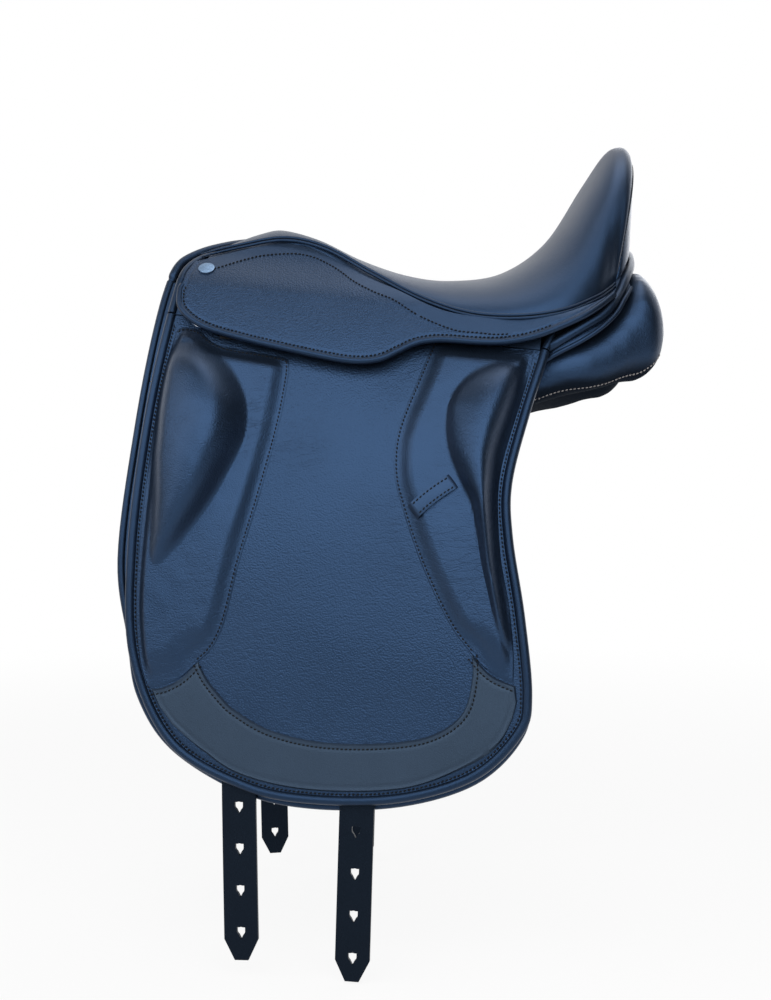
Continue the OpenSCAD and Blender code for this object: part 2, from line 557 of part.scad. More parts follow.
// Tree: the wooden head with its points, the rails, and steel to bind them
module head_frame() {
  translate([-168, 0, 40]) rotate([0, 23, 0]) rotate([90, 0, 90]) children();
}
head_out = [[-97, -14], [-86, 26], [-66, 76], [-48, 106], [-28, 125], [0, 135]];
head_in = [[-86, -14], [-75, 24], [-54, 70], [-38, 90], [-20, 101], [0, 104]];
function both(P) = concat(P, [for (i = [len(P) - 2:-1:0]) [-P[i][0], P[i][1]]]);
rivet_spots = [[-58, 79], [-76, 38], [58, 79], [76, 38]];
module tree_head() color(wood_c) head_frame() difference() {
  linear_extrude(head_t, center = true) polygon(concat(both(head_out), flip(both(head_in))));
  for (p = rivet_spots) translate([p[0], p[1], -head_t/2])
    cylinder(r = rivet_r, h = 24, center = true, $fn = 48);
}
module head_plate() color(steel_c) head_frame()
  translate([0, 0, -head_t/2 - head_plate_t]) difference() {
  linear_extrude(head_plate_t) polygon([[-82, 24], [-64, 70], [-46, 96], [-26, 111], [0, 116],
    [26, 111], [46, 96], [64, 70], [82, 24], [74, 24], [55, 74], [39, 94], [21, 105], [0, 108],
    [-21, 105], [-39, 94], [-55, 74], [-74, 24]]);
  for (p = rivet_spots) translate([p[0], p[1], 0])
    cylinder(r = rivet_r, h = 24, center = true, $fn = 48);
}
module head_rivets() color(steel_c) head_frame() for (p = rivet_spots)
  translate([p[0], p[1], -head_t/2 - head_plate_t]) {
    cylinder(r = rivet_r, h = head_plate_t + 10, $fn = 48);
    translate([0, 0, -1.5]) cylinder(r = rivet_r + 1, h = 1.5, $fn = 48);
  }
rail_path = twin(spline([[-126, -68, 88], [-60, -79, 80], [0, -88, 74], [80, -95, 66],
  [140, -96, 70], [178, -80, 90], [198, -48, 108], [204, 0, 114]], 2));
module tree_rails() color(wood_c) loft([for (i = [0:len(rail_path) - 1]) let (
    t = dir(rail_path, i), u = unit(cross(t, [0, 0, 1])), v = cross(u, t))
  [for (k = [0:7]) let (w = 45*k + 22.5)
    rail_path[i] + 1.08*rail_w*cos(w)*u + 1.08*rail_h*sin(w)*v]]);
module seat_webbing() color(web_c) for (x = [-20, 40, 100])
  translate([x - 18, -80 - x/10, 84.3 - x/12 - (x > 0 ? 1.5 : 0)]) cube([36, 160 + x/5, 2]);

// Panels: rows hold x, centre half width, centre height, half width, half thickness, tilt
panel_rows = spline([
  [-196, 62, 60, 40, 8, 70], [-176, 61, 50, 58, 13, 70], [-150, 62, 44, 60, 16, 66],
  [-100, 70, 33, 57, 17, 50], [-30, 40 + gullet_half, 25, 50, 22, 32],
  [50, 46 + gullet_half, 24, 46, 23, 22], [120, 50 + gullet_half, 26, 46, 23, 14],
  [170, 50 + gullet_half, 40, 54, 31, 9], [212, 46 + gullet_half, 60, 49, 40, 7],
  [240, 42 + gullet_half, 75, 44, 45, 3], [250, 41 + gullet_half, 75, 36, 34, 2],
  [257, 40 + gullet_half, 75, 24, 18, 0], [260, 40 + gullet_half, 75, 10, 6, 0]], 2);
function panel_pt(r, w) = let (
    u = r[3]*power(cos(w), 0.75), v = r[4]*power(sin(w), 0.75))
  [r[0], -r[1] - u*cos(r[5]) - v*sin(r[5]), r[2] - u*sin(r[5]) + v*cos(r[5])];
module panel(s) color(leather2) side(s) loft([for (r = panel_rows) [for (k = [0:17]) panel_pt(r, 20*k)]]);
module panel_welts() color(leather) for (s = [1, -1]) side(s) tube(spline(
  [[150, -140, 44], [175, -142, 57], [193, -138.5, 69], [207, -131, 82], [217, -121, 97],
   [225, -108, 109.5]], 3), 2.2, 6);

tree_head();
tree_rails();
head_plate();
head_rivets();
seat_webbing();
seat_foam();
seat_cover();
seat_welt(1);  // seat_welt_left
seat_welt(-1);  // seat_welt_right
cantle_back();
cantle_roll();
pommel_lining();
pommel_roll();
skirt_root(1);  // skirt_root_left
skirt_root(-1);  // skirt_root_right
head_studs();
flap_root(1);  // flap_root_left
flap_root(-1);  // flap_root_right
stirrup_bar(1);  // stirrup_bar_left
stirrup_bar(-1);  // stirrup_bar_right
bar_rivets();
catch_pins();
panel(1);  // panel_left
panel(-1);  // panel_right
panel_welts();
sweat_flap(1);  // sweat_flap_left
sweat_flap(-1);  // sweat_flap_right
sweat_roll(1);  // sweat_roll_left
sweat_roll(-1);  // sweat_roll_right
girth_webs();
web_rivets();
dee_chapes();
flap(1);  // flap_left
flap(-1);  // flap_right
flap_roll(1);  // flap_roll_left
flap_roll(-1);  // flap_roll_right
knee_cover(1);  // knee_cover_left
knee_cover(-1);  // knee_cover_right
knee_block(1);  // knee_block_left
knee_block(-1);  // knee_block_right
thigh_cover(1);  // thigh_cover_left
thigh_cover(-1);  // thigh_cover_right
thigh_block(1);  // thigh_block_left
thigh_block(-1);  // thigh_block_right
flap_patch(1);  // flap_patch_left
flap_patch(-1);  // flap_patch_right
keeper(1);  // keeper_left
keeper(-1);  // keeper_right
skirt(1);  // skirt_left
skirt(-1);  // skirt_right
skirt_roll(1);  // skirt_roll_left
skirt_roll(-1);  // skirt_roll_right
billet(1, front_a, front_c, billet_rake, -337);  // front_billet_left
billet(-1, front_a, front_c, billet_rake, -337);  // front_billet_right
billet(1, rear_a, rear_c, 5, -341);  // rear_billet_left
billet(-1, rear_a, rear_c, 5, -341);  // rear_billet_right
dee_ring(1);  // dee_ring_left
dee_ring(-1);  // dee_ring_right
stirrup_catch(1);  // stirrup_catch_left
stirrup_catch(-1);  // stirrup_catch_right
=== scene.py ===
"""Leather, padding, stitching and fittings of a dressage saddle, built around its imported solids."""

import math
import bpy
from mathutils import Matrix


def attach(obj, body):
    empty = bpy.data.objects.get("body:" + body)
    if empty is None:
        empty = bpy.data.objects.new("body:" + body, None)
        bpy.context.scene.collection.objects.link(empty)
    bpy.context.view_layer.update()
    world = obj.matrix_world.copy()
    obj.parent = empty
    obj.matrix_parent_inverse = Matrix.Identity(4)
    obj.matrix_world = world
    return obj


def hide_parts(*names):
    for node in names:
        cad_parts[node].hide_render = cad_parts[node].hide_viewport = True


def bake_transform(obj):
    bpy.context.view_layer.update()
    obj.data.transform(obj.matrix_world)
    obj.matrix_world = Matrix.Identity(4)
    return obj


bl_info = {
    "name": "Dressage saddle",
    "version": (1, 0, 0),
    "blender": (4, 5, 0),
    "location": "View3D > Sidebar > Saddle",
    "description": "Builds the leather, padding, stitching and fittings of a dressage saddle",
    "category": "Object",
}

import bmesh
import bpy
import numpy as np
from mathutils import Matrix, Vector, noise
from mathutils.bvhtree import BVHTree

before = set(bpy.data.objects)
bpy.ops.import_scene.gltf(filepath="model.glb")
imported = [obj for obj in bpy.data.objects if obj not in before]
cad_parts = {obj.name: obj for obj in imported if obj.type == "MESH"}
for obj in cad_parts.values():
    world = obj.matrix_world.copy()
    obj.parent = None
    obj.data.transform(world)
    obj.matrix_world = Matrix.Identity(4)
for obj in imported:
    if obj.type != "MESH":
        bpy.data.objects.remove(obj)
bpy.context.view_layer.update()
MM = 0.001

# The near flap's frame: a runs to the rear, c runs up, o is the distance out from its inner face
FLAP_HALF = 120.0
FLAP_TOP = 64.0
FLAP_FALL = math.radians(6.5)
FLAP_YAW = math.radians(8.0)
FLARE = 74.0
CURVE = 165.0
FOLD_C = 29.0
INWARD = Vector((math.sin(FLAP_YAW), math.cos(FLAP_YAW), 0.0))
OUTWARD = tuple(-x for x in INWARD)
FORWARD = Vector((-1.0, 0.0, 0.0))
TO_OFF_SIDE = np.array([1.0, -1.0, 1.0])
SIDES = ("left", "right")
# Radii of the rolled edges, and how far out from the flap's inner face the covers begin
FLAP_ROLL = 4.2
SWEAT_ROLL = 3.8
SKIRT_ROLL = 3.0
COVER_BASE = 4.2
KEEPER_WIDTH = 14.0
# Opening of the flap over the stirrup bar, and of the fixed leather above it
BAR_FRONT, BAR_REAR, BAR_FOOT = -154.0, -82.0, -14.5
HEAD_FRONT, HEAD_REAR = -199.0, 140.0
HEAD_GAP_FRONT, HEAD_GAP_REAR, HEAD_GAP_TOP = -158.0, -62.0, 22.0


class SaddleLook(bpy.types.PropertyGroup):
    """Sizes and colours of the saddle's leather and stitching"""

    leather_colour: bpy.props.FloatVectorProperty(
        name="Leather colour", description="Colour of the dyed leather", subtype="COLOR",
        size=4, min=0.0, max=1.0, default=(0.006, 0.0095, 0.016, 1.0))
    crease_colour: bpy.props.FloatVectorProperty(
        name="Crease colour", description="Colour in the grain's valleys and creases",
        subtype="COLOR", size=4, min=0.0, max=1.0, default=(0.002, 0.003, 0.005, 1.0))
    thread_colour: bpy.props.FloatVectorProperty(
        name="Thread colour", description="Colour of the waxed thread", subtype="COLOR",
        size=4, min=0.0, max=1.0, default=(0.0015, 0.002, 0.003, 1.0))
    stitch_pitch: bpy.props.FloatProperty(
        name="Stitch pitch", description="Distance from one stitch to the next",
        subtype="DISTANCE", unit="LENGTH", default=0.0037, min=0.002, max=0.01)
    stitch_length: bpy.props.FloatProperty(
        name="Stitch length", description="Visible length of a stitch",
        subtype="DISTANCE", unit="LENGTH", default=0.0027, min=0.001, max=0.008)
    stitch_width: bpy.props.FloatProperty(
        name="Stitch width", description="Thickness of the thread", subtype="DISTANCE",
        unit="LENGTH", default=0.0015, min=0.0004, max=0.003)
    knee_height: bpy.props.FloatProperty(
        name="Knee block height", description="How far the knee block stands out",
        subtype="DISTANCE", unit="LENGTH", default=0.034, min=0.01, max=0.05)
    thigh_height: bpy.props.FloatProperty(
        name="Thigh block height", description="How far the thigh block stands out",
        subtype="DISTANCE", unit="LENGTH", default=0.026, min=0.01, max=0.05)
    grain_size: bpy.props.FloatProperty(
        name="Grain size", description="Size of one pebble of the grain",
        subtype="DISTANCE", unit="LENGTH", default=0.0015, min=0.0005, max=0.005)
    key_power: bpy.props.FloatProperty(
        name="Key light", description="Power of the large soft light", unit="POWER",
        default=54.0, min=0.0, max=500.0)
    room_light: bpy.props.FloatProperty(
        name="Room light", description="Strength of the even light of the room",
        default=0.2, min=0.0, max=2.0)


def look():
    """The sizes and colours that the panel shows."""
    return bpy.context.scene.saddle_look


def ease(t):
    """A smooth step from 0 to 1."""
    t = np.clip(t, 0.0, 1.0)
    return t * t * (3.0 - 2.0 * t)


def rounded(t):
    """A quarter round from 0 to 1."""
    return np.sqrt(np.clip(1.0 - (1.0 - np.clip(t, 0, 1)) ** 2, 0, 1))


def groove(d, middle, width):
    """The depth of a pressed line, 1 at its middle."""
    return np.exp(-((d - middle) / width) ** 2)


def curve(points, per=8):
    """A smooth line through the points, with per steps to each stretch."""
    p = np.array(points, float)
    ext = np.vstack([p[:1], p, p[-1:]])
    out = []
    for i in range(len(p) - 1):
        a, b, c, d = ext[i], ext[i + 1], ext[i + 2], ext[i + 3]
        for t in np.linspace(0.0, 1.0, per, endpoint=False):
            out.append(0.5 * (2 * b + (c - a) * t + (2 * a - 5 * b + 4 * c - d) * t ** 2
                              + (3 * b - a - 3 * c + d) * t ** 3))
    out.append(p[-1])
    return np.array(out)


def inset(line, d):
    """An open outline moved to its left side by d."""
    p = np.array(line, float)
    t = np.gradient(p, axis=0)
    t /= np.linalg.norm(t, axis=1)[:, None]
    return p + d * np.column_stack([-t[:, 1], t[:, 0]])


def along(line):
    """A function from 0..1 to the place at that share of the line's length."""
    p = np.array(line, float)
    s = np.r_[0.0, np.cumsum(np.linalg.norm(np.diff(p, axis=0), axis=1))]
    s /= s[-1]
    return lambda t: np.column_stack([np.interp(t, s, p[:, k]) for k in range(p.shape[1])])


def length(line):
    """Length of a line."""
    return float(np.linalg.norm(np.diff(np.array(line, float), axis=0), axis=1).sum())


def far_from(line, a, c):
    """Distance of each place from a line in the flap's frame."""
    p = np.array(line, float)
    best = np.full(len(a), 1e9)
    for s, e in zip(p[:-1], p[1:]):
        d = e - s
        k = np.clip(((a - s[0]) * d[0] + (c - s[1]) * d[1]) / max(d @ d, 1e-9), 0.0, 1.0)
        best = np.minimum(best, np.hypot(a - s[0] - k * d[0], c - s[1] - k * d[1]))
    return best


def fall(c):
    """How far the leather surface lies inside the flap's top line at height c."""
    return FLARE * (np.exp(c / CURVE) - 1.0)


def skirt_out(c):
    """Distance of the skirt's inner face from the flap's inner face."""
    return 16.0 - 10.0 * ease((c - FOLD_C) / 40.0)


def to_world(a, o, c):
    """Places in the flap's frame as points of the object, in millimetres."""
    y = fall(c) - o
    x = a * math.cos(FLAP_FALL) + c * math.sin(FLAP_FALL)
    z = c * math.cos(FLAP_FALL) - a * math.sin(FLAP_FALL)
    return np.column_stack([x * math.cos(FLAP_YAW) + y * math.sin(FLAP_YAW),
                            y * math.cos(FLAP_YAW) - x * math.sin(FLAP_YAW) - FLAP_HALF,
                            z + FLAP_TOP])


def to_flap(p):
    """Points of the object, in millimetres, as a, o, c in the flap's frame."""
    p = np.atleast_2d(np.array(p, float))
    x0, y0, z0 = p[:, 0], p[:, 1] + FLAP_HALF, p[:, 2] - FLAP_TOP
    x = x0 * math.cos(FLAP_YAW) - y0 * math.sin(FLAP_YAW)
    y = x0 * math.sin(FLAP_YAW) + y0 * math.cos(FLAP_YAW)
    a = x * math.cos(FLAP_FALL) - z0 * math.sin(FLAP_FALL)
    c = x * math.sin(FLAP_FALL) + z0 * math.cos(FLAP_FALL)
    return np.column_stack([a, fall(c) - y, c])


def patch(top, right, bottom, left):
    """A place in a four-sided field; top and bottom run rearward, the sides run down."""
    upper, lower, fore, hind = along(top), along(bottom), along(left), along(right)
    c00, c10, c01, c11 = (np.array(x) for x in (top[0], top[-1], bottom[0], bottom[-1]))

    def place(u, v):
        w, h = u[:, None], v[:, None]
        return ((1 - h) * upper(u) + h * lower(u) + (1 - w) * fore(v) + w * hind(v)
                - ((1 - w) * (1 - h) * c00 + w * (1 - h) * c10 + (1 - w) * h * c01 + w * h * c11))

    return place


def between(upper, lower, shift=(0.0, 0.0, 0.0)):
    """A surface ruled from one line to another, moved by shift."""
    return lambda u, v: upper(u) + (lower(u) - upper(u)) * v[:, None] + np.array(shift)


def over_skirt(d):
    """How far out a line lies that stays at d over the skirt's inner face."""
    return lambda a, c: skirt_out(c) + d


def nearest(line, spot):
    """Number of the line's point that lies nearest to a spot."""
    return int(np.argmin(np.hypot(line[:, 0] - spot[0], line[:, 1] - spot[1])))


def both_ways(path):
    """A near-side path carried on over the mid-plane to the off side."""
    return np.vstack([path, (path * TO_OFF_SIDE)[::-1][1:]])


def ripple(a, c, size, seed):
    """Slow unevenness of hand-laid leather, from -1 to 1."""
    return np.array([noise.noise(Vector((x / size, y / size, seed))) for x, y in zip(a, c)])


# Outlines in the flap's frame
FLAP_LINE = curve([
    (-205, 40), (-205, 0), (-205, -100), (-200, -220), (-184, -312), (-140, -381), (-71, -410),
    (-10, -414), (68, -402), (131, -373), (165, -331), (169, -297), (155, -231), (137, -166),
    (131, -120), (139, -57), (149, 0), (150, 40)])
SWEAT_LINE = curve([
    (-219.5, 34), (-220, 0), (-217.5, -110), (-213, -228), (-194, -296), (-178, -346),
    (-141, -388.5), (-74, -417), (-10, -422), (68, -409), (131, -380), (165, -337), (167, -297),
    (151, -231), (132, -166), (125, -125), (128, -75)])
EDGE_LINE = curve([
    (-196, 29), (-197, 22), (-191, 4), (-168, -11), (-129, -19.5), (-72, -27), (-26, -31), (1, -27),
    (19, -16.5), (30, -9.5), (41, -5.5), (56, -3), (88, -2), (112, 1), (139, 10), (172, 29), (189, 43),
    (202, 58)])
SKIRT_LINE, TAIL_LINE = EDGE_LINE[EDGE_LINE[:, 0] <= 30.01], EDGE_LINE[EDGE_LINE[:, 0] >= 29.99]
SEAM_LINE = curve([
    (-190, 54), (-170, 62), (-135, 76), (-100, 82), (-77, 77), (-34, 57), (6, 43), (46, 28),
    (83, 24), (119, 25), (154, 34), (184, 50), (198, 61)])
STRIP_LINE = curve([
    (-176, 44), (-161, 52), (-146, 60), (-132, 66), (-114, 70), (-96, 72), (-77, 69), (-56, 60),
    (-36, 48), (-15, 39), (4, 33), (25, 22), (46, 14), (66, 9), (84, 9), (101, 9), (118, 12),
    (131, 16), (152, 27), (172, 41), (186, 54)])
KNEE_TOP = curve([
    (-192, -15), (-186, -11), (-171, -13), (-159, -21), (-148, -25), (-129, -27), (-90, -30), (-82, -33)])
KNEE_REAR = curve([
    (-82, -33), (-80, -51), (-81, -97), (-88, -156), (-97, -214), (-103, -267), (-111, -292),
    (-122, -306)])
KNEE_FOOT = curve([(-164, -334), (-150, -330), (-135, -321), (-122, -306)])
KNEE_FRONT = curve([
    (-192, -15), (-195, -60), (-194, -110), (-190, -200), (-185, -262), (-175, -310), (-164, -334)])
THIGH_TOP = np.array([(45.0, -2.0), (90.0, -2.0), (136.0, -2.0)])
THIGH_FRONT = curve([
    (45, -2), (36, -39), (27, -76), (25, -100), (28, -124), (36, -146), (60, -195), (90, -243),
    (113, -268)])
THIGH_FOOT = curve([(113, -268), (131, -282), (152, -289)])
THIGH_REAR = curve([
    (136, -2), (131, -40), (124, -80), (120, -110), (121, -140), (129, -185), (141, -225),
    (149, -262), (152, -289)])
PATCH_TOP_PARTS = (
    curve([(-161, -335), (-150, -332), (-135, -322), (-122, -306)]),
    curve([(-122, -306), (-112, -320), (-98, -333), (-84, -343), (-51, -356), (-6, -360),
           (46, -354), (87, -342), (112, -320), (117, -290), (114, -269)]),
    curve([(114, -269), (132, -284), (154, -291)]))
PATCH_TOP = np.vstack([PATCH_TOP_PARTS[0], *(part[1:] for part in PATCH_TOP_PARTS[1:])])
PATCH_FOOT = curve([
    (-138, -363), (-108, -382), (-71, -398), (-10, -402), (68, -390), (120, -364), (145, -342),
    (155, -318)])
PATCH_FRONT = np.array([(-161.0, -335.0), (-152.0, -349.0), (-138.0, -363.0)])
PATCH_REAR = np.array([(154.0, -291.0), (157.0, -304.0), (155.0, -318.0)])
# Padded blocks: height, front edge, rear edge, share of the full height
KNEE_ROWS = curve([
    (-29, -188, -166, 0.15), (-37, -191, -147, 0.55), (-52, -192, -129, 0.78),
    (-73, -191, -114, 0.94), (-93, -190, -109, 1), (-110, -188, -110, 1),
    (-132, -186, -117, 0.94), (-155, -182, -126, 0.84), (-179, -179, -138, 0.68),
    (-203, -177, -153, 0.46), (-222, -176, -166, 0.22), (-229, -175, -170, 0.1)], 4)
THIGH_ROWS = curve([
    (-15, 103, 120, 0.15), (-24, 88, 127, 0.5), (-40, 73, 127, 0.8), (-62, 66, 123, 0.95),
    (-92, 71, 117, 1), (-119, 85, 116, 1), (-142, 100, 117, 0.95), (-180, 111, 124, 0.75),
    (-215, 122, 133, 0.55), (-246, 133, 143, 0.3), (-258, 140, 146, 0.12)], 4)
# Seat: crown x, crown z, seam x, seam half width, seam z
SEAT_ROWS = curve([
    (-133, 174, -178, 52, 147), (-118, 180, -140, 62, 154), (-100, 182, -96, 68, 160),
    (-65, 171, -57, 78, 150), (-25, 151, -14, 96, 124), (20, 136, 32, 116, 97),
    (62, 131, 76, 132, 80), (112, 138, 120, 142, 76), (158, 170, 160, 138, 82),
    (195, 226, 190, 124, 95), (217, 258, 203, 112, 104), (231, 265, 208, 106, 108),
    (239, 259, 211, 103, 111), (241.5, 245, 211.5, 99, 114)], 10)
# Panel: x, half way out, height, half width, half thickness, tilt in degrees
PANEL_ROWS = curve([
    (-196, 62, 60, 40, 8, 70), (-176, 61, 50, 58, 13, 70), (-150, 62, 44, 60, 16, 66),
    (-100, 70, 33, 57, 17, 50), (-30, 78, 25, 50, 22, 32), (50, 84, 24, 46, 23, 22),
    (120, 88, 26, 46, 23, 14), (170, 88, 44, 54, 27, 9), (212, 84, 67, 49, 36, 7),
    (231, 81, 79, 45, 49, 4), (243, 80, 80, 43, 43, 3), (251, 79, 79, 37, 33, 2),
    (257, 78, 77, 24, 19, 0), (260, 78, 75, 10, 6, 0)], 6)
POMMEL_PATH = curve([
    (-203, -62, 122.5), (-201.5, -60, 130), (-194, -51, 143.5), (-176, -38, 155.5), (-154, -20, 165),
    (-137.5, 0, 171.5)])
POMMEL_INNER = curve([
    (-192, -79.2, 119), (-190, -72, 129), (-183, -61, 140), (-170, -45, 150.5), (-153, -26, 160),
    (-140, -8, 167)])
CANTLE_PATH = curve([
    (132, -129, 42), (143, -135, 49), (152, -141, 55), (174, -139, 68), (193, -133, 79.5),
    (205, -125, 91), (214, -113, 104), (222, -98, 120), (231, -70, 136), (236, -36, 152),
    (239, 0, 160)])
# The stretch of the cantle's roll that lies above the panel
CANTLE_SIDE = CANTLE_PATH[:61]
PIPING_PATH = curve([
    (132, -130, 33), (150, -140, 44), (175, -142, 57), (193, -138.5, 69), (207, -131, 82), (217, -121, 97),
    (225, -108, 109.5)])


def finish_mesh(name, bm, smooth=True):
    """A new object at the origin from a bmesh, with its faces pointing outwards."""
    bmesh.ops.recalc_face_normals(bm, faces=bm.faces[:])
    mesh = bpy.data.meshes.new(name)
    bm.to_mesh(mesh)
    bm.free()
    mesh.polygons.foreach_set("use_smooth", [smooth] * len(mesh.polygons))
    if smooth:
        mesh.set_sharp_from_angle(angle=math.radians(42.0))
    obj = bpy.data.objects.new(name, mesh)
    bpy.context.scene.collection.objects.link(obj)
    return obj


def field(nu, nv, shape):
    """A grid whose points go where shape(u, v) says, in millimetres."""
    bm = bmesh.new()
    bmesh.ops.create_grid(bm, x_segments=nu, y_segments=nv, size=0.5)
    u = np.array([v.co.x + 0.5 for v in bm.verts])
    w = np.array([v.co.y + 0.5 for v in bm.verts])
    for vert, p in zip(bm.verts, shape(u, w)):
        vert.co = Vector(p) * MM
    return bm


def extruded(bm):
    """Doubles every face of an open sheet and walls its rim; returns the new points."""
    made = bmesh.ops.extrude_face_region(bm, geom=bm.faces[:], use_keep_orig=True)
    return [g for g in made["geom"] if isinstance(g, bmesh.types.BMVert)]


def wall(bm, thickness, way=INWARD):
    """Gives an open sheet a thickness, on the near side towards the horse."""
    bmesh.ops.translate(bm, verts=extruded(bm), vec=way * thickness * MM)
    return bm


def closed(bm, gap):
    """Joins the points that lie together and fills the open ends."""
    bmesh.ops.remove_doubles(bm, verts=bm.verts[:], dist=gap)
    bmesh.ops.holes_fill(bm, edges=[e for e in bm.edges if e.is_boundary])
    return bm


def face_spots(bm):
    """The middle of every face in the flap's frame."""
    return to_flap([f.calc_center_median() / MM for f in bm.faces])


def onto(bm, out):
    """Closes a raised sheet down to distance out from the flap's inner face."""
    verts = extruded(bm)
    spots = to_flap([v.co / MM for v in verts])
    for v, p in zip(verts, to_world(spots[:, 0], np.full(len(verts), out), spots[:, 2])):
        v.co = Vector(p) * MM
    return bm


def tube(path, radius, up=(0.1, 0.2, 1.0), around=12):
    """A round cord along points of the object, in millimetres."""
    p = np.array(path, float)
    t = np.gradient(p, axis=0)
    t /= np.linalg.norm(t, axis=1)[:, None]
    side = np.cross(t, np.array(up, float))
    side /= np.linalg.norm(side, axis=1)[:, None]
    over = np.cross(side, t)
    n = len(p) - 1
    radii = np.broadcast_to(np.array(radius, float), (len(p),))

    def shape(u, v):
        i = np.rint(u * n).astype(int)
        w = 2.0 * math.pi * v
        ring = np.cos(w)[:, None] * side[i] + np.sin(w)[:, None] * over[i]
        return p[i] + radii[i][:, None] * ring

    return closed(field(n, around, shape), 1e-6)


def roll(line, o, step=4.0):
    """Points of a rolled edge that runs on the leather surface."""
    n = max(8, int(length(line) / step))
    p = along(line)(np.linspace(0.0, 1.0, n))
    out = o(p[:, 0], p[:, 1]) if callable(o) else np.full(n, float(o))
    return to_world(p[:, 0], out, p[:, 1])


def stitch_row(bm, path, outward, slant=10.0):
    """Adds thread stitches along points of the object; outward gives the leather's facing."""
    pitch, long, wide = look().stitch_pitch, look().stitch_length, look().stitch_width
    p = np.array(path, float) * MM
    n = max(2, int(length(p) / pitch))
    where = along(p)
    mid = where((np.arange(n) + 0.5) / n)
    ahead = where((np.arange(n) + 0.55) / n) - where((np.arange(n) + 0.45) / n)
    for i in range(n):
        t = Vector(ahead[i]).normalized()
        face = Vector(outward(mid[i] / MM) if callable(outward) else outward)
        face = (face - t * face.dot(t)).normalized()
        t = Matrix.Rotation(math.radians(slant), 3, face) @ t
        axes = Matrix((t.cross(face), face, t)).transposed()
        place = Matrix.Translation(Vector(mid[i]) + face * wide * 0.18) @ axes.to_4x4()
        place = place @ Matrix.Diagonal((wide * 0.5, wide * 0.42, long * 0.5, 1.0))
        bmesh.ops.create_uvsphere(bm, u_segments=6, v_segments=4, radius=1.0, matrix=place)


def mirrored(obj, name):
    """The off side's copy of a near-side piece."""
    bm = bmesh.new()
    bm.from_mesh(obj.data)
    bmesh.ops.scale(bm, vec=(1.0, -1.0, 1.0), verts=bm.verts[:])
    bmesh.ops.reverse_faces(bm, faces=bm.faces[:])
    mesh = bpy.data.meshes.new(name)
    bm.to_mesh(mesh)
    bm.free()
    for m in obj.data.materials:
        mesh.materials.append(m)
    twin = bpy.data.objects.new(name, mesh)
    bpy.context.scene.collection.objects.link(twin)
    return twin


def put(obj, body, finish, nodes=()):
    """Gives a piece its finish and lets it ride on a body in place of the named solids."""
    if not obj.data.materials:
        obj.data.materials.append(FINISH[finish])
    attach(obj, body)
    if nodes:
        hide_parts(*nodes)
    return obj


def single(name, bm, finish, nodes=()):
    """A piece across the mid-plane that rides on the saddle."""
    return put(finish_mesh(name, bm), "saddle", finish, nodes)


def twins(name, bm, finish, second):
    """A near-side piece and its mirrored copy, with one or two finishes."""
    near = finish_mesh(name + "_near", bm)
    near.data.materials.append(FINISH[finish])
    if second:
        near.data.materials.append(FINISH[second])
    return near, mirrored(near, name + "_off")


def both_sides(name, bm, body, finish, node=None, second=None):
    """A near-side piece and its twin; a body or node name without its side's ending."""
    pair = twins(name, bm, finish, second)
    for obj, side in zip(pair, SIDES):
        rides = body if body == "saddle" else f"{body}_{side}"
        put(obj, rides, finish, [f"{node}_{side}"] if node else [])
    return pair


def bending(name, bm, finish, node=None, second=None):
    """A near-side piece and its twin over the skirt's fold line, left in place without riding on a body."""
    near, off = twins(name, bm, finish, second)
    for obj, side, s in ((near, "left", 1.0), (off, "right", -1.0)):
        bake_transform(obj)
        if node:
            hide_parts(f"{node}_{side}")
    return near, off


def from_solid(name, nodes, body, finish, edge):
    """A leather or webbing piece on the shape of its solids, with eased edges."""
    bm = bmesh.new()
    for node in nodes:
        bm.from_mesh(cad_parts[node].data)
    bmesh.ops.remove_doubles(bm, verts=bm.verts[:], dist=2e-6)
    bmesh.ops.dissolve_limit(bm, angle_limit=0.02, verts=bm.verts[:], edges=bm.edges[:])
    sharp = [e for e in bm.edges if len(e.link_faces) == 2 and e.calc_face_angle(0.0) > 0.7]
    bmesh.ops.bevel(bm, geom=sharp, offset=edge * MM, offset_type="OFFSET", segments=2,
                    profile=0.5, affect="EDGES", material=-1, clamp_overlap=True)
    bmesh.ops.triangulate(bm, faces=[f for f in bm.faces if len(f.verts) > 4])
    obj = finish_mesh(name, bm, smooth=False)
    return put(obj, body, finish, nodes)


def shade(colour, share):
    """A colour made lighter or darker, fully opaque."""
    return tuple(min(1.0, x * share) for x in colour[:3]) + (1.0,)


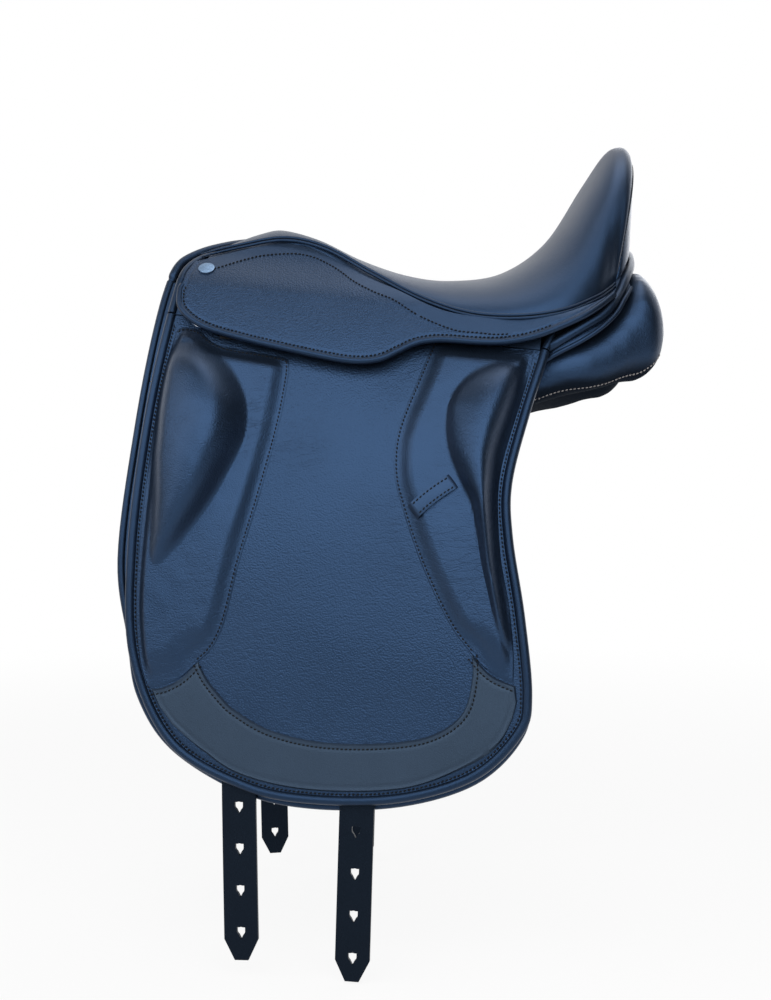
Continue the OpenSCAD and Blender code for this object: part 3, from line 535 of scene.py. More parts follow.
class Graph:
    """A node tree, with short ways to add its nodes and join them."""

    def __init__(self, tree):
        self.nodes = tree.nodes
        self.links = tree.links

    def fill(self, node, inputs):
        """Puts numbers, colours or other nodes' outputs into a node's inputs."""
        for key, value in inputs.items():
            if isinstance(value, bpy.types.NodeSocket):
                self.links.new(value, node.inputs[key])
            else:
                node.inputs[key].default_value = value
        return node

    def add(self, kind, inputs):
        """A new node with what goes into its inputs, by name or number."""
        return self.fill(self.nodes.new("ShaderNode" + kind), inputs)

    def surface(self, inputs):
        """The material's own shader."""
        return self.fill(self.nodes["Principled BSDF"], inputs)

    def place(self):
        """Object coordinates."""
        return self.nodes.new("ShaderNodeTexCoord").outputs["Object"]

    def attribute(self, name):
        """A value that is stored on the piece's points."""
        node = self.nodes.new("ShaderNodeAttribute")
        node.attribute_name = name
        return node.outputs["Fac"]

    def cells(self, feature, inputs):
        """Distances in a pattern of cells; the feature comes first, as some inputs depend on it."""
        node = self.nodes.new("ShaderNodeTexVoronoi")
        node.feature = feature
        return self.fill(node, inputs).outputs["Distance"]

    def calc(self, operation, a, b):
        """A sum, difference, product or maximum of two sockets or numbers."""
        node = self.add("Math", {0: a, 1: b})
        node.operation = operation
        return node.outputs[0]

    def mix(self, share, first, second):
        """One colour going over into another."""
        return self.add("MixRGB", {0: share, 1: first, 2: second}).outputs[0]

    def bump(self, height, strength, distance):
        """Fine relief from a height."""
        return self.add("Bump", {"Strength": strength, "Distance": distance, "Height": height}).outputs[0]

    def ramp(self, source, stops):
        """A colour ramp from a list of place and grey or colour."""
        node = self.add("ValToRGB", {0: source})
        while len(node.color_ramp.elements) < len(stops):
            node.color_ramp.elements.new(0.5)
        for e, (at, value) in zip(node.color_ramp.elements, stops):
            e.position = at
            e.color = value if isinstance(value, tuple) else (value, value, value, 1.0)
        return node.outputs[0]

    def white_rays(self):
        """1 for rays of the camera, of reflections and through glass, 0 for all others."""
        rays = self.nodes.new("ShaderNodeLightPath").outputs
        seen = self.calc("MAXIMUM", rays["Is Camera Ray"], rays["Is Glossy Ray"])
        return self.calc("MAXIMUM", seen, rays["Is Transmission Ray"])


def material(name):
    """A new node material and its graph."""
    mat = bpy.data.materials.new(name)
    mat.use_nodes = True
    return mat, Graph(mat.node_tree)


def leather(name, tone, grain, size, crease, rough, stretch=(1, 1, 1), painted=False, shine=1.0,
            dull=False, tint=(0.23, 0.48, 1.0)):
    """Dyed leather: pebble grain, fine creases and uneven dye and polish."""
    mat, g = material(name)
    coat = look().leather_colour
    where = g.place()
    scale = 1.0 / (look().grain_size * size)
    pebble = g.cells("SMOOTH_F1", {"Scale": scale, "Smoothness": 0.6, "Vector": where})
    fine = g.add("TexNoise", {"Scale": scale * 2.2, "Detail": 3.0, "Vector": where}).outputs["Fac"]
    slow = g.add("TexNoise", {"Scale": 11.0, "Detail": 5.0, "Vector": where}).outputs["Fac"]
    drawn = g.add("Mapping", {"Scale": stretch, "Vector": where}).outputs[0]
    warp = g.add("TexNoise", {"Scale": 38.0, "Detail": 4.0, "Distortion": 0.6, "Vector": drawn})
    bent = g.mix(0.045, drawn, warp.outputs["Color"])
    folds = g.cells("DISTANCE_TO_EDGE", {"Scale": 95.0, "Vector": bent})
    line = g.ramp(folds, [(0.0, 0.0), (0.10, 1.0)])
    shown = g.calc("MULTIPLY", g.ramp(slow, [(0.40, 0.0), (0.62, 1.0)]), crease)
    fold = g.calc("MULTIPLY", g.calc("SUBTRACT", 1.0, line), shown)
    stone = g.ramp(pebble, [(0.15, 1.0), (0.85, 0.0)])
    height = g.calc("ADD", g.calc("MULTIPLY", stone, 0.75 * grain), g.calc("MULTIPLY", fine, 0.35))
    height = g.calc("SUBTRACT", height, fold)
    dye = g.ramp(slow, [(0.32, shade(coat, 0.86 * tone)), (0.68, shade(coat, 1.18 * tone))])
    valley = g.calc("MULTIPLY", g.calc("SUBTRACT", 1.0, stone), 0.45 * min(grain, 1.0))
    valley = g.calc("MAXIMUM", valley, g.calc("MULTIPLY", fold, 0.7))
    colour = g.mix(valley, dye, shade(look().crease_colour, tone))
    # Painted reflection: where the crown attribute is set, the colour goes over into grey, a sky's
    # reflection painted on the seat's top.
    if painted:
        colour = g.mix(g.attribute("crown"), colour, (0.014, 0.013, 0.013, 1.0))
    polish = g.ramp(slow, [(0.3, rough - 0.05), (0.7, rough + 0.06)])
    # Down-facing faces lose most of their shine and get rougher: partly a matte underside leather, partly
    # painted shade, as if the underside lay in shadow.
    if dull:
        under = g.attribute("under")
        still_shiny = g.calc("SUBTRACT", 1.0, g.calc("MULTIPLY", under, 0.93))
        shine = g.calc("MULTIPLY", still_shiny, shine)
        polish = g.calc("ADD", polish, g.calc("MULTIPLY", under, 0.5))
    # The blue Specular Tint is a painted sky reflection: every highlight of the leather takes a sky's blue.
    g.surface({"Base Color": colour, "Roughness": polish, "Normal": g.bump(height, 0.9, 0.00032),
               "Specular IOR Level": shine, "Specular Tint": (*tint, 1.0)})
    return mat


def thread(name, colour):
    """Waxed thread with a twist."""
    mat, g = material(name)
    twist = g.add("TexWave", {"Scale": 900.0, "Distortion": 2.0, "Vector": g.place()}).outputs["Fac"]
    g.surface({"Base Color": g.ramp(twist, [(0.2, tuple(colour)), (0.9, shade(colour, 2.2))]),
               "Normal": g.bump(twist, 0.4, 0.0001), "Roughness": 0.6, "Specular IOR Level": 0.15})
    return mat


def metal(name, colour, rough, wear=0.08):
    """Plated or forged metal with fine marks."""
    mat, g = material(name)
    marks = g.add("TexNoise", {"Scale": 420.0, "Detail": 6.0, "Vector": g.place()}).outputs["Fac"]
    g.surface({"Base Color": g.ramp(marks, [(0.35, shade(colour, 0.8)), (0.6, shade(colour, 1.0))]),
               "Roughness": g.ramp(marks, [(0.3, rough + wear), (0.7, rough)]),
               "Normal": g.bump(marks, 0.15, 0.0001), "Metallic": 1.0})
    return mat


def beech(name):
    """Laminated beech of the tree, near-black as dark lacquer and as painted shade, with its long grain."""
    mat, g = material(name)
    long_grain = g.add("Mapping", {"Scale": (6.0, 60.0, 90.0), "Vector": g.place()}).outputs[0]
    rings = g.add("TexNoise", {"Scale": 3.0, "Detail": 8.0, "Vector": long_grain}).outputs["Fac"]
    # Near-black partly for the tree's dark lacquer, partly as painted shade where the tree shows in the
    # slot under the skirt.
    dark, light = (0.006, 0.004, 0.003, 1.0), (0.018, 0.012, 0.008, 1.0)
    g.surface({"Base Color": g.ramp(rings, [(0.3, dark), (0.7, light)]),
               "Normal": g.bump(rings, 0.3, 0.0003), "Roughness": 0.55})
    return mat


def woven(name):
    """Plain woven black webbing."""
    mat, g = material(name)
    where = g.place()
    bands = [g.add("TexWave", {"Scale": 300.0, "Distortion": 0.4, "Vector": where}) for _ in range(2)]
    bands[0].bands_direction = "X"
    bands[1].bands_direction = "Z"
    cloth = g.calc("MAXIMUM", bands[0].outputs["Fac"], bands[1].outputs["Fac"])
    dark, light = (0.012, 0.012, 0.013, 1.0), (0.055, 0.055, 0.06, 1.0)
    g.surface({"Base Color": g.ramp(cloth, [(0.2, dark), (0.9, light)]),
               "Normal": g.bump(cloth, 0.6, 0.0004), "Roughness": 0.85})
    return mat


FINISH = {}


def finishes():
    """Makes the leathers, thread, metals, wood and webbing once."""
    calf = {"grain": 0.22, "size": 0.7, "crease": 0.0}
    stuffed = {"tone": 0.95, "grain": 0.4, "size": 0.8, "crease": 0.25, "rough": 0.38}
    FINISH.update({
        "grained": leather("Grained flap leather", tone=1.0, grain=1.0, size=1.0, crease=0.45,
                           rough=0.39, stretch=(0.75, 0.75, 1.5)),
        "creased": leather("Padded leather", tone=1.0, grain=0.55, size=0.8, crease=0.5,
                           rough=0.36, stretch=(0.6, 0.6, 1.7)),
        "smooth": leather("Smooth calf", tone=1.6, rough=0.42, **calf),
        # The foot patch's and the straps' tints are greyer painted sky reflections.
        "patch": leather("Foot patch calf", tone=2.0, rough=0.48, shine=0.75,
                         tint=(0.42, 0.66, 1.0), **calf),
        # The seat's top is painted grey as a painted reflection.
        "seat": leather("Seat calf", tone=0.95, grain=0.25, size=0.7, crease=0.12, rough=0.38,
                        painted=True),
        "edge": leather("Edge binding", tone=0.7, grain=0.2, size=0.6, crease=0.0, rough=0.36,
                        shine=0.7),
        "panel": leather("Panel leather", **stuffed),
        "lining": leather("Stuffed panel leather", dull=True, **stuffed),
        "strap": leather("Strap leather", tone=0.3, grain=0.35, size=0.7, crease=0.1, rough=0.38,
                         shine=0.22, tint=(0.4, 0.62, 1.0)),
        "facing": leather("Facing strip", tone=1.5, rough=0.40, **calf),
        "thread": thread("Waxed thread", look().thread_colour),
        "pale_thread": thread("Pale thread", (0.16, 0.15, 0.15, 1.0)),
        "chrome": metal("Bright plating", (0.80, 0.82, 0.85), 0.10),
        # The studs' metal is tinted blue as a painted sky reflection.
        "silver": metal("Cast silver plate", (0.22, 0.33, 0.49), 0.45, 0.12),
        # The steel is near-black as painted shade, for the stirrup bars in the skirt's shadow.
        "steel": metal("Steel with painted shade", (0.05, 0.05, 0.055), 0.42),
        "beech": beech("Laminated beech"),
        "woven": woven("Black webbing"),
    })


def block_height(rows, high, peak, step, a, c):
    """Height of a padded block at places of the flap."""
    order = rows[::-1]
    front = np.interp(c, order[:, 0], order[:, 1])
    rear = np.interp(c, order[:, 0], order[:, 2])
    share = np.interp(c, order[:, 0], order[:, 3], left=0.0, right=0.0)
    s = np.clip((a - front) / (rear - front), 0.0, 1.0)
    inside = (c > order[0, 0]) & (c < order[-1, 0])
    ramp_up = step * ease(s / 0.08) + (1.0 - step) * np.sin(0.5 * math.pi * np.clip(s / peak, 0.0, 1.0))
    fall_off = np.power(np.cos(0.5 * math.pi * np.clip((s - peak) / (1.0 - peak), 0.0, 1.0)), 0.8)
    return np.where(inside, high * share * ramp_up * fall_off, 0.0)


def relaxed(values, nu, nv, u, v, times):
    """Evens a height over the grid, as leather drawn over a block does; the rim stays."""
    i = np.rint(u * nu).astype(int)
    j = np.rint(v * nv).astype(int)
    grid = np.zeros((nu + 1, nv + 1))
    grid[i, j] = values
    for _ in range(times):
        g = grid.copy()
        g[1:-1, 1:-1] = 0.25 * (grid[:-2, 1:-1] + grid[2:, 1:-1] + grid[1:-1, :-2] + grid[1:-1, 2:])
        grid = g
    return grid[i, j]


def pad_piece(sides, rows, high, peak, step, nu, nv, lift, soft, seed, rise):
    """A padded cover over its block, from its four sides and how wide each side's rise is."""
    place = patch(*sides)
    rim = np.vstack([sides[0], sides[1], sides[2][::-1], sides[3][::-1]])

    def shape(u, v):
        p = place(u, v)
        a, c = p[:, 0], p[:, 1]
        d = far_from(rim, a, c)
        edge = COVER_BASE + 0.8 * rounded(d / 1.2)
        pad = lift * np.ones(len(a))
        for side, wide in zip(sides, rise):
            pad = pad * ease((far_from(side, a, c) - 2.4) / wide)
        pad = pad - 0.3 * groove(d, 2.2, 0.9)
        block = relaxed(block_height(rows, high, peak, step, a, c), nu, nv, u, v, soft)
        waves = 0.35 * ripple(a, c, 17.0, seed) * ease(d / 12.0)
        return to_world(a, edge + pad + np.maximum(block - 0.4 * pad, 0.0) + waves, c)

    return onto(field(nu, nv, shape), COVER_BASE)


def plumped(bm, voxel, pressure, cap):
    """Swells a stuffed leather piece under pressure, and keeps how far a point may move."""
    mesh = bpy.data.meshes.new("stuffing")
    bm.to_mesh(mesh)
    obj = bpy.data.objects.new("stuffing", mesh)
    scene = bpy.context.scene
    scene.collection.objects.link(obj)
    mesh.remesh_voxel_size = voxel
    with bpy.context.temp_override(object=obj, active_object=obj, selected_objects=[obj]):
        bpy.ops.object.voxel_remesh()
    start = np.array([v.co for v in obj.data.vertices])
    places = start
    cloth = obj.modifiers.new("Cloth", "CLOTH")
    cloth.settings.use_pressure = True
    cloth.settings.uniform_pressure_force = pressure
    cloth.settings.effector_weights.gravity = 0.0
    cloth.point_cache.frame_start = 1
    cloth.point_cache.frame_end = 20
    for frame in range(1, 21):
        scene.frame_set(frame)
    swollen = obj.evaluated_get(bpy.context.evaluated_depsgraph_get()).data
    moved = np.array([v.co for v in swollen.vertices]) - start
    far = np.linalg.norm(moved, axis=1)[:, None]
    places = start + moved * np.minimum(1.0, cap / np.maximum(far, 1e-9))
    obj.modifiers.remove(cloth)
    scene.frame_set(1)
    bm.clear()
    bm.from_mesh(obj.data)
    for v, p in zip(bm.verts, places):
        v.co = p
    bpy.data.objects.remove(obj)
    return bm


class SADDLE_OT_flaps(bpy.types.Operator):
    """Flaps with their rolled edges, and the sweat flaps under them"""

    bl_idname = "saddle.flaps"
    bl_label = "Flaps"

    def execute(self, context):
        finishes()
        rim = inset(FLAP_LINE, 6.0)
        rim = np.vstack([(-199.0, -0.4), rim[rim[:, 1] < -0.5], (142.8, -0.4)])
        i, j = nearest(rim, (-148, -366)), nearest(rim, (136, -361))
        front, foot, rear = rim[:i + 1], rim[i:j + 1], rim[j:][::-1]
        place = patch(np.array([front[0], rear[0]]), rear, foot, front)

        def shape(u, v):
            p = place(u, v)
            a, c = p[:, 0], p[:, 1]
            d = far_from(rim, a, c)
            waves = 0.45 * ripple(a, c, 60.0, 1.0) * ease((d - 8.0) / 30.0)
            return to_world(a, 4.0 - 0.6 * groove(d, 3.6, 1.4) + waves, c)

        bm = field(112, 128, shape)
        bar = [f for f, p in zip(bm.faces[:], face_spots(bm))
               if BAR_FRONT < p[0] < BAR_REAR and p[2] > BAR_FOOT]
        bmesh.ops.delete(bm, geom=bar, context="FACES")
        both_sides("flap", wall(bm, 3.9), "flap", "grained", "flap")
        edge = inset(FLAP_LINE, FLAP_ROLL)
        edge = np.vstack([(-200.8, -0.8), edge[edge[:, 1] < -2], (144.6, -0.8)])
        bm = tube(roll(edge, 3.2), FLAP_ROLL, up=INWARD)
        both_sides("flap_roll", bm, "flap", "edge", "flap_roll")
        self.heads()
        face = -10.6
        rim = inset(SWEAT_LINE, 5.0)
        i, j = nearest(rim, (-160, -364)), nearest(rim, (141, -366))
        low = [k for k in range(len(rim)) if rim[k, 1] < -52]
        front, foot, rear = rim[low[0]:i + 1], rim[i:j + 1], rim[j:][::-1]
        top = np.array([front[0], (-160, -58), (20, -62), (110, -66), rear[0]])
        place = patch(top, rear, foot, front)

        def under(u, v):
            p = place(u, v)
            waves = 0.4 * ripple(p[:, 0], p[:, 1], 50.0, 2.0)
            return to_world(p[:, 0], face + waves, p[:, 1])

        def front_strip(u, v):
            p = strip(u, v)
            return to_world(p[:, 0], np.full(len(u), face), p[:, 1])

        bm = wall(field(72, 84, under), 3.4)
        upper, lower = (-197, 33), (-183, -52.5)
        strip = patch(np.array([rim[0], upper]), np.array([upper, (-190, -30), lower]),
                      np.array([rim[low[0]], lower]), rim[:low[0] + 1])
        bm_strip = wall(field(4, 20, front_strip), 3.4)
        piece = bpy.data.meshes.new("strip")
        bm_strip.to_mesh(piece)
        bm_strip.free()
        bm.from_mesh(piece)
        both_sides("sweat_flap", bm, "saddle", "panel", "sweat_flap")
        bm = tube(roll(inset(SWEAT_LINE, SWEAT_ROLL), -12.0), SWEAT_ROLL, up=INWARD)
        both_sides("sweat_roll", bm, "saddle", "edge", "sweat_roll")
        return {"FINISHED"}

    def heads(self):
        """The fixed leather above the lifting line, the bar's lining and the rolls' upper ends."""
        wide = HEAD_REAR - HEAD_FRONT

        def head(u, v):
            return to_world(HEAD_FRONT + wide * u, np.full(len(u), 3.9), 0.6 + 28.4 * v)

        bm = field(170, 14, head)
        gone = [f for f, p in zip(bm.faces[:], face_spots(bm))
                if (HEAD_GAP_FRONT < p[0] < HEAD_GAP_REAR and p[2] < HEAD_GAP_TOP)
                or p[2] > np.interp(p[0], (20, 60, 140), (34, 22, 14))]
        bmesh.ops.delete(bm, geom=gone, context="FACES")
        both_sides("flap_head", wall(bm, 3.7), "saddle", "smooth", "flap_root")
        for name, start, end in (("hinge_front", HEAD_FRONT, HEAD_GAP_FRONT),
                                 ("hinge_rear", HEAD_GAP_REAR, HEAD_REAR)):
            bm = field(40, 4, lambda u, v: to_world(
                start + (end - start) * u, np.full(len(u), -0.3), 19 * v - 9))
            both_sides(name, wall(bm, 1.0), "saddle", "smooth")
        foot, top = along([(-160, -76, 82), (-58, -76, 82)]), along([(-160, -72, 126), (-58, -72, 126)])
        bm = field(24, 8, between(foot, top))
        both_sides("bar_lining", wall(bm, 1.2), "saddle", "panel")
        line = np.column_stack([np.full(12, -200.8), np.linspace(35.0, 0.75, 12)])
        both_sides("flap_head_roll", tube(roll(line, 3.2), FLAP_ROLL, up=INWARD), "saddle", "edge")
        line = np.column_stack([np.linspace(144.7, 149.0, 8), np.linspace(0.75, 17.0, 8)])
        both_sides("flap_tail_roll", tube(roll(line, 3.2), FLAP_ROLL - 0.2, up=INWARD), "saddle", "edge")


class SADDLE_OT_blocks(bpy.types.Operator):
    """Padded knee and thigh covers, the foot patches and the keepers"""

    bl_idname = "saddle.blocks"
    bl_label = "Blocks and patches"

    def execute(self, context):
        knee = (KNEE_TOP, KNEE_REAR, KNEE_FOOT, KNEE_FRONT)
        bm = pad_piece(knee, KNEE_ROWS, look().knee_height / MM, peak=0.66, step=0.5, nu=70, nv=150,
                       lift=7.0, soft=16, seed=3.0, rise=(9.0, 15.0, 30.0, 8.0))
        pair = both_sides("knee_pad", bm, "flap", "creased", "knee_cover")
        for obj, side in zip(pair, SIDES):
            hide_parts(f"knee_block_{side}")
        thigh = (THIGH_TOP, THIGH_REAR, THIGH_FOOT, THIGH_FRONT)
        bm = pad_piece(thigh, THIGH_ROWS, look().thigh_height / MM, peak=0.68, step=0.25, nu=64, nv=140,
                       lift=8.0, soft=8, seed=4.0, rise=(12.0, 9.0, 26.0, 16.0))
        pair = both_sides("thigh_pad", bm, "flap", "creased", "thigh_cover")
        for obj, side in zip(pair, SIDES):
            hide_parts(f"thigh_block_{side}")
        place = patch(PATCH_TOP, PATCH_REAR, PATCH_FOOT, PATCH_FRONT)
        rim = np.vstack([PATCH_TOP, PATCH_REAR, PATCH_FOOT[::-1], PATCH_FRONT[::-1]])

        def shape(u, v):
            p = place(u, v)
            d = far_from(rim, p[:, 0], p[:, 1])
            o = 4.3 + 2.0 * rounded(d / 1.6) - 0.55 * groove(d, 4.4, 1.2)
            return to_world(p[:, 0], o, p[:, 1])

        bm = onto(field(220, 26, shape), COVER_BASE)
        both_sides("foot_patch", bm, "flap", "patch", "flap_patch")
        self.keeper()
        return {"FINISHED"}

    @staticmethod
    def keeper_face(u, v):
        """The keeper's outer face, bowed along its length and let into the cover at both ends."""
        turn = math.radians(44.0)
        ends = 23.5
        s = (u - 0.5) * 2.0 * ends
        w = (v - 0.5) * KEEPER_WIDTH - 1.8 * (1.0 - (s / ends) ** 2)
        a = 66.0 + s * math.cos(turn) + w * math.sin(turn)
        c = -139.0 + s * math.sin(turn) - w * math.cos(turn)
        rise = 5.4 * ease((ends + 0.5 - np.abs(s)) / 5.0) + 1.4 * np.cos(s / ends * 1.5)
        crown = 0.7 * (1.0 - (2.0 * v - 1.0) ** 2)
        return to_world(a, 9.4 + rise + crown, c)

    def keeper(self):
        """The small arched loop sewn on the thigh cover."""
        bm = wall(field(32, 10, self.keeper_face), 2.0)
        both_sides("keeper", bm, "flap", "smooth", "keeper")


class SADDLE_OT_seat(bpy.types.Operator):
    """Seat, cantle and pommel with their welts and rolls"""

    bl_idname = "saddle.seat"
    bl_label = "Seat"

    @staticmethod
    def point(row, w, share):
        """Points of the seat at a row number and an angle from the near seam."""
        last = len(SEAT_ROWS) - 1
        f = np.clip(row, 0, last)
        r = np.column_stack([np.interp(f, np.arange(last + 1), SEAT_ROWS[:, k]) for k in range(5)])
        p = 1.3 - 0.35 * f / last
        s = np.power(np.maximum(np.sin(w), 0.0), p) * share
        k = np.sign(np.cos(w)) * np.power(np.abs(np.cos(w)), p)
        return np.column_stack([r[:, 2] + (r[:, 0] - r[:, 2]) * s, -r[:, 3] * k,
                                r[:, 4] + (r[:, 1] - r[:, 4]) * s])

    def execute(self, context):
        last = len(SEAT_ROWS) - 1

        def shape(u, v):
            row = u * last
            top = v <= 0.5
            w = np.where(top, 2.0 * math.pi * v, 2.0 * math.pi * (1.0 - v))
            under = 0.94 - 0.64 * ease((row - 30.0) / 16.0)
            return self.point(row, w, np.where(top, 1.0, under))

        seat = finish_mesh("seat", closed(field(last, 112, shape), 1e-5))
        spots = np.array([v.co for v in seat.data.vertices]) / MM
        # The crown attribute is the share of the painted grey reflection: full on the seat's top, none
        # towards its seams.
        half = np.interp(spots[:, 0], SEAT_ROWS[:, 2], SEAT_ROWS[:, 3])
        crown = ease((0.74 - np.abs(spots[:, 1]) / half) / 0.4)
        seat.data.attributes.new("crown", "FLOAT", "POINT").data.foreach_set("value", crown)
        put(seat, "saddle", "seat", ["seat_cover", "seat_foam"])
        rows = np.linspace(0.5, 118.0, 124)
        seam = self.point(rows, np.zeros(len(rows)), 1.0)
        for n, (dy, dz, r) in enumerate(((-1.9, 3.6, 1.5), (-2.9, 0.6, 1.5))):
            bm = tube(seam + np.array([0.0, dy, dz]), r * (0.25 + 0.75 * ease(rows / 7.0)))
            both_sides(f"seat_welt_{n}", bm, "saddle", "edge",
                       "seat_welt" if n == 0 else None)
        spots = np.linspace(-168.0, 204.0, 120)
        upper = np.column_stack([spots, *(np.interp(spots, seam[:, 0], seam[:, k]) for k in (1, 2))])
        edge = to_world(SEAM_LINE[:, 0], skirt_out(SEAM_LINE[:, 1]) + 3.6, SEAM_LINE[:, 1] - 1.0)
        lower = np.column_stack([spots, *(np.interp(spots, edge[:, 0], edge[:, k]) for k in (1, 2))])
        steps = len(spots) - 1

        def tuck(u, v):
            i = np.rint(u * steps).astype(int)
            return upper[i] + (lower[i] - upper[i]) * v[:, None]

        bm = field(steps, 5, tuck)
        both_sides("seat_tuck", wall(bm, 1.4), "saddle", "facing")
        self.cantle(last)
        self.pommel()
        return {"FINISHED"}

    def cantle(self, last):
        """The back of the cantle, the roll round its base and its piping."""

        def back(u, v):
            w = u * math.pi
            s = np.maximum(np.sin(w), 0.0)
            a = self.point(np.full(len(u), float(last)), w, 1.0)
            b = np.column_stack([207 + 30 * s ** 0.8, -102 * np.cos(w), 116 + 52 * s ** 1.4])
            return a + (b - a) * v[:, None] + np.array([0.3, 0.0, 0.0])

        bm = wall(field(64, 24, back), 1.8, FORWARD)
        single("cantle_back_cover", bm, "panel", ["cantle_back"])
        rim = self.point(np.full(65, float(last)), np.linspace(0.02, math.pi - 0.02, 65), 1.0)
        single("cantle_rim_welt", tube(rim - np.array([0.4, 0.0, 0.0]), 1.1), "edge")
        whole = both_ways(CANTLE_PATH)
        single("cantle_roll_cover", tube(whole, 4.6), "edge", ["cantle_roll"])
        top = along(whole[np.abs(whole[:, 1]) < 74] - np.array([1.5, 0.0, 4.4]))

        def apron(u, v):
            p = top(u)
            low = 121.5 - 22.0 * np.maximum(0.0, 1.0 - (p[:, 1] / 45.0) ** 2)
            return p + np.column_stack([-5.0 * v, 0 * v, (low - p[:, 2]) * v])

        single("cantle_apron", wall(field(40, 8, apron), 1.8, FORWARD), "panel")
        near, _ = both_sides("panel_piping", tube(PIPING_PATH, 2.2), "saddle", "edge")
        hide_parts("panel_welts")
        upper, lower = along(CANTLE_SIDE), along(PIPING_PATH)
        behind = np.array([0.0, 2.6, 0.0])
        bm = field(40, 4, between(upper, lower, behind))
        both_sides("panel_facing", wall(bm, 1.5), "saddle", "panel")
        tuck = np.array([-3.0, 14.0, 20.0])
        bm = field(40, 4, lambda u, v: upper(u) + tuck * v[:, None] + behind)
        both_sides("cantle_tuck", wall(bm, 1.5), "saddle", "panel")

    def pommel(self):
        """The two rolls round the cut-back head, their facing and the lining under them."""
        whole = both_ways(POMMEL_PATH)
        count = np.arange(len(whole))
        ends = ease(np.minimum(count, count[::-1]) / 8.0)
        single("pommel_roll_cover", tube(whole, 3.7 + 0.8 * ends), "edge", ["pommel_roll"])
        both_sides("pommel_inner_roll", tube(POMMEL_INNER, 3.8), "saddle", "edge")
        low = np.array([30.0, 42.0, 54.0])
        front = to_world(np.array([-189.0, -190.0, -188.0]), skirt_out(low) + 1.0, low)
        edge = self.point(np.zeros(5), np.radians([6.0, 25.0, 45.0, 65.0, 84.0]), 1.0)
        inner, outer = along(POMMEL_INNER), along(np.vstack([front, edge]))
        bm = field(40, 8, between(inner, outer))
        both_sides("pommel_facing", wall(bm, 1.5), "saddle", "smooth")
        line = along(whole)

        def shape(u, v):
            p = line(u)
            one = np.ones(len(u))
            edge = p + np.column_stack([one, -2.4 * np.sign(p[:, 1]), -4.3 * one])
            inner_edge = np.column_stack([p[:, 0] * 0.6 - 62, p[:, 1] * 0.8, p[:, 2] * 0.62 + 36])
            return edge + (inner_edge - edge) * v[:, None]

        bm = wall(field(48, 10, shape), 1.9, -FORWARD)
        single("pommel_lining_cover", bm, "panel", ["pommel_lining"])


class SADDLE_OT_skirts(bpy.types.Operator):
    """Skirts, their tails and rolled edges"""

    bl_idname = "saddle.skirts"
    bl_label = "Skirts"

    def execute(self, context):
        cut = 29.5
        top = np.interp(cut, SEAM_LINE[:, 0], SEAM_LINE[:, 1])
        seam = np.vstack([SEAM_LINE[SEAM_LINE[:, 0] < cut], (cut, top)])
        low = inset(EDGE_LINE, SKIRT_ROLL)
        join = (cut, np.interp(cut, low[:, 0], low[:, 1]))
        low = np.vstack([low[low[:, 0] < cut - 0.2], join])
        front = np.array([seam[0], (-193.0, 42.0), low[0]])
        main = patch(seam, np.array([seam[-1], low[-1]]), low, front)
        edge = np.vstack([front, low])
        bm = field(120, 60, lambda u, v: self.leather_face(main(u, v), edge))
        bending("skirt", wall(self.strip(bm), 3.8), "grained", "skirt", "facing")
        bm = tube(roll(low, over_skirt(2.0), 3.0), SKIRT_ROLL, up=INWARD)
        bending("skirt_roll", bm, "edge", "skirt_roll")
        seam = np.vstack([(cut, top), SEAM_LINE[SEAM_LINE[:, 0] > cut + 0.4]])
        line = inset(EDGE_LINE, SKIRT_ROLL)
        line = np.vstack([join, line[line[:, 0] > cut + 0.2]])
        low = line[line[:, 0] < 193]
        tail = patch(seam, np.array([seam[-1], low[-1]]), low, np.array([seam[0], low[0]]))
        bm = field(100, 36, lambda u, v: self.leather_face(tail(u, v), low))
        both_sides("skirt_tail", wall(self.strip(bm), 3.8), "saddle", "grained",
                   "skirt_root", "facing")
        bm = tube(roll(line, over_skirt(2.0), 3.0), SKIRT_ROLL, up=INWARD)
        both_sides("tail_roll", bm, "saddle", "edge")
        return {"FINISHED"}

    @staticmethod
    def strip(bm):
        """Gives the faces between the seat seam and the stitched line the smooth facing."""
        spots = face_spots(bm)
        edge = np.interp(spots[:, 0], STRIP_LINE[:, 0], STRIP_LINE[:, 1], left=99.0)
        for face, p, c in zip(bm.faces, spots, edge):
            face.material_index = int(p[2] > c)
        return bm

    @staticmethod
    def leather_face(p, edge):
        """The skirt's outer face with its stitched groove."""
        a, c = p[:, 0], p[:, 1]
        d = far_from(edge, a, c)
        waves = 0.3 * ripple(a, c, 45.0, 5.0)
        return to_world(a, skirt_out(c) + 4.0 - 0.7 * groove(d, 4.2, 1.2) + waves, c)


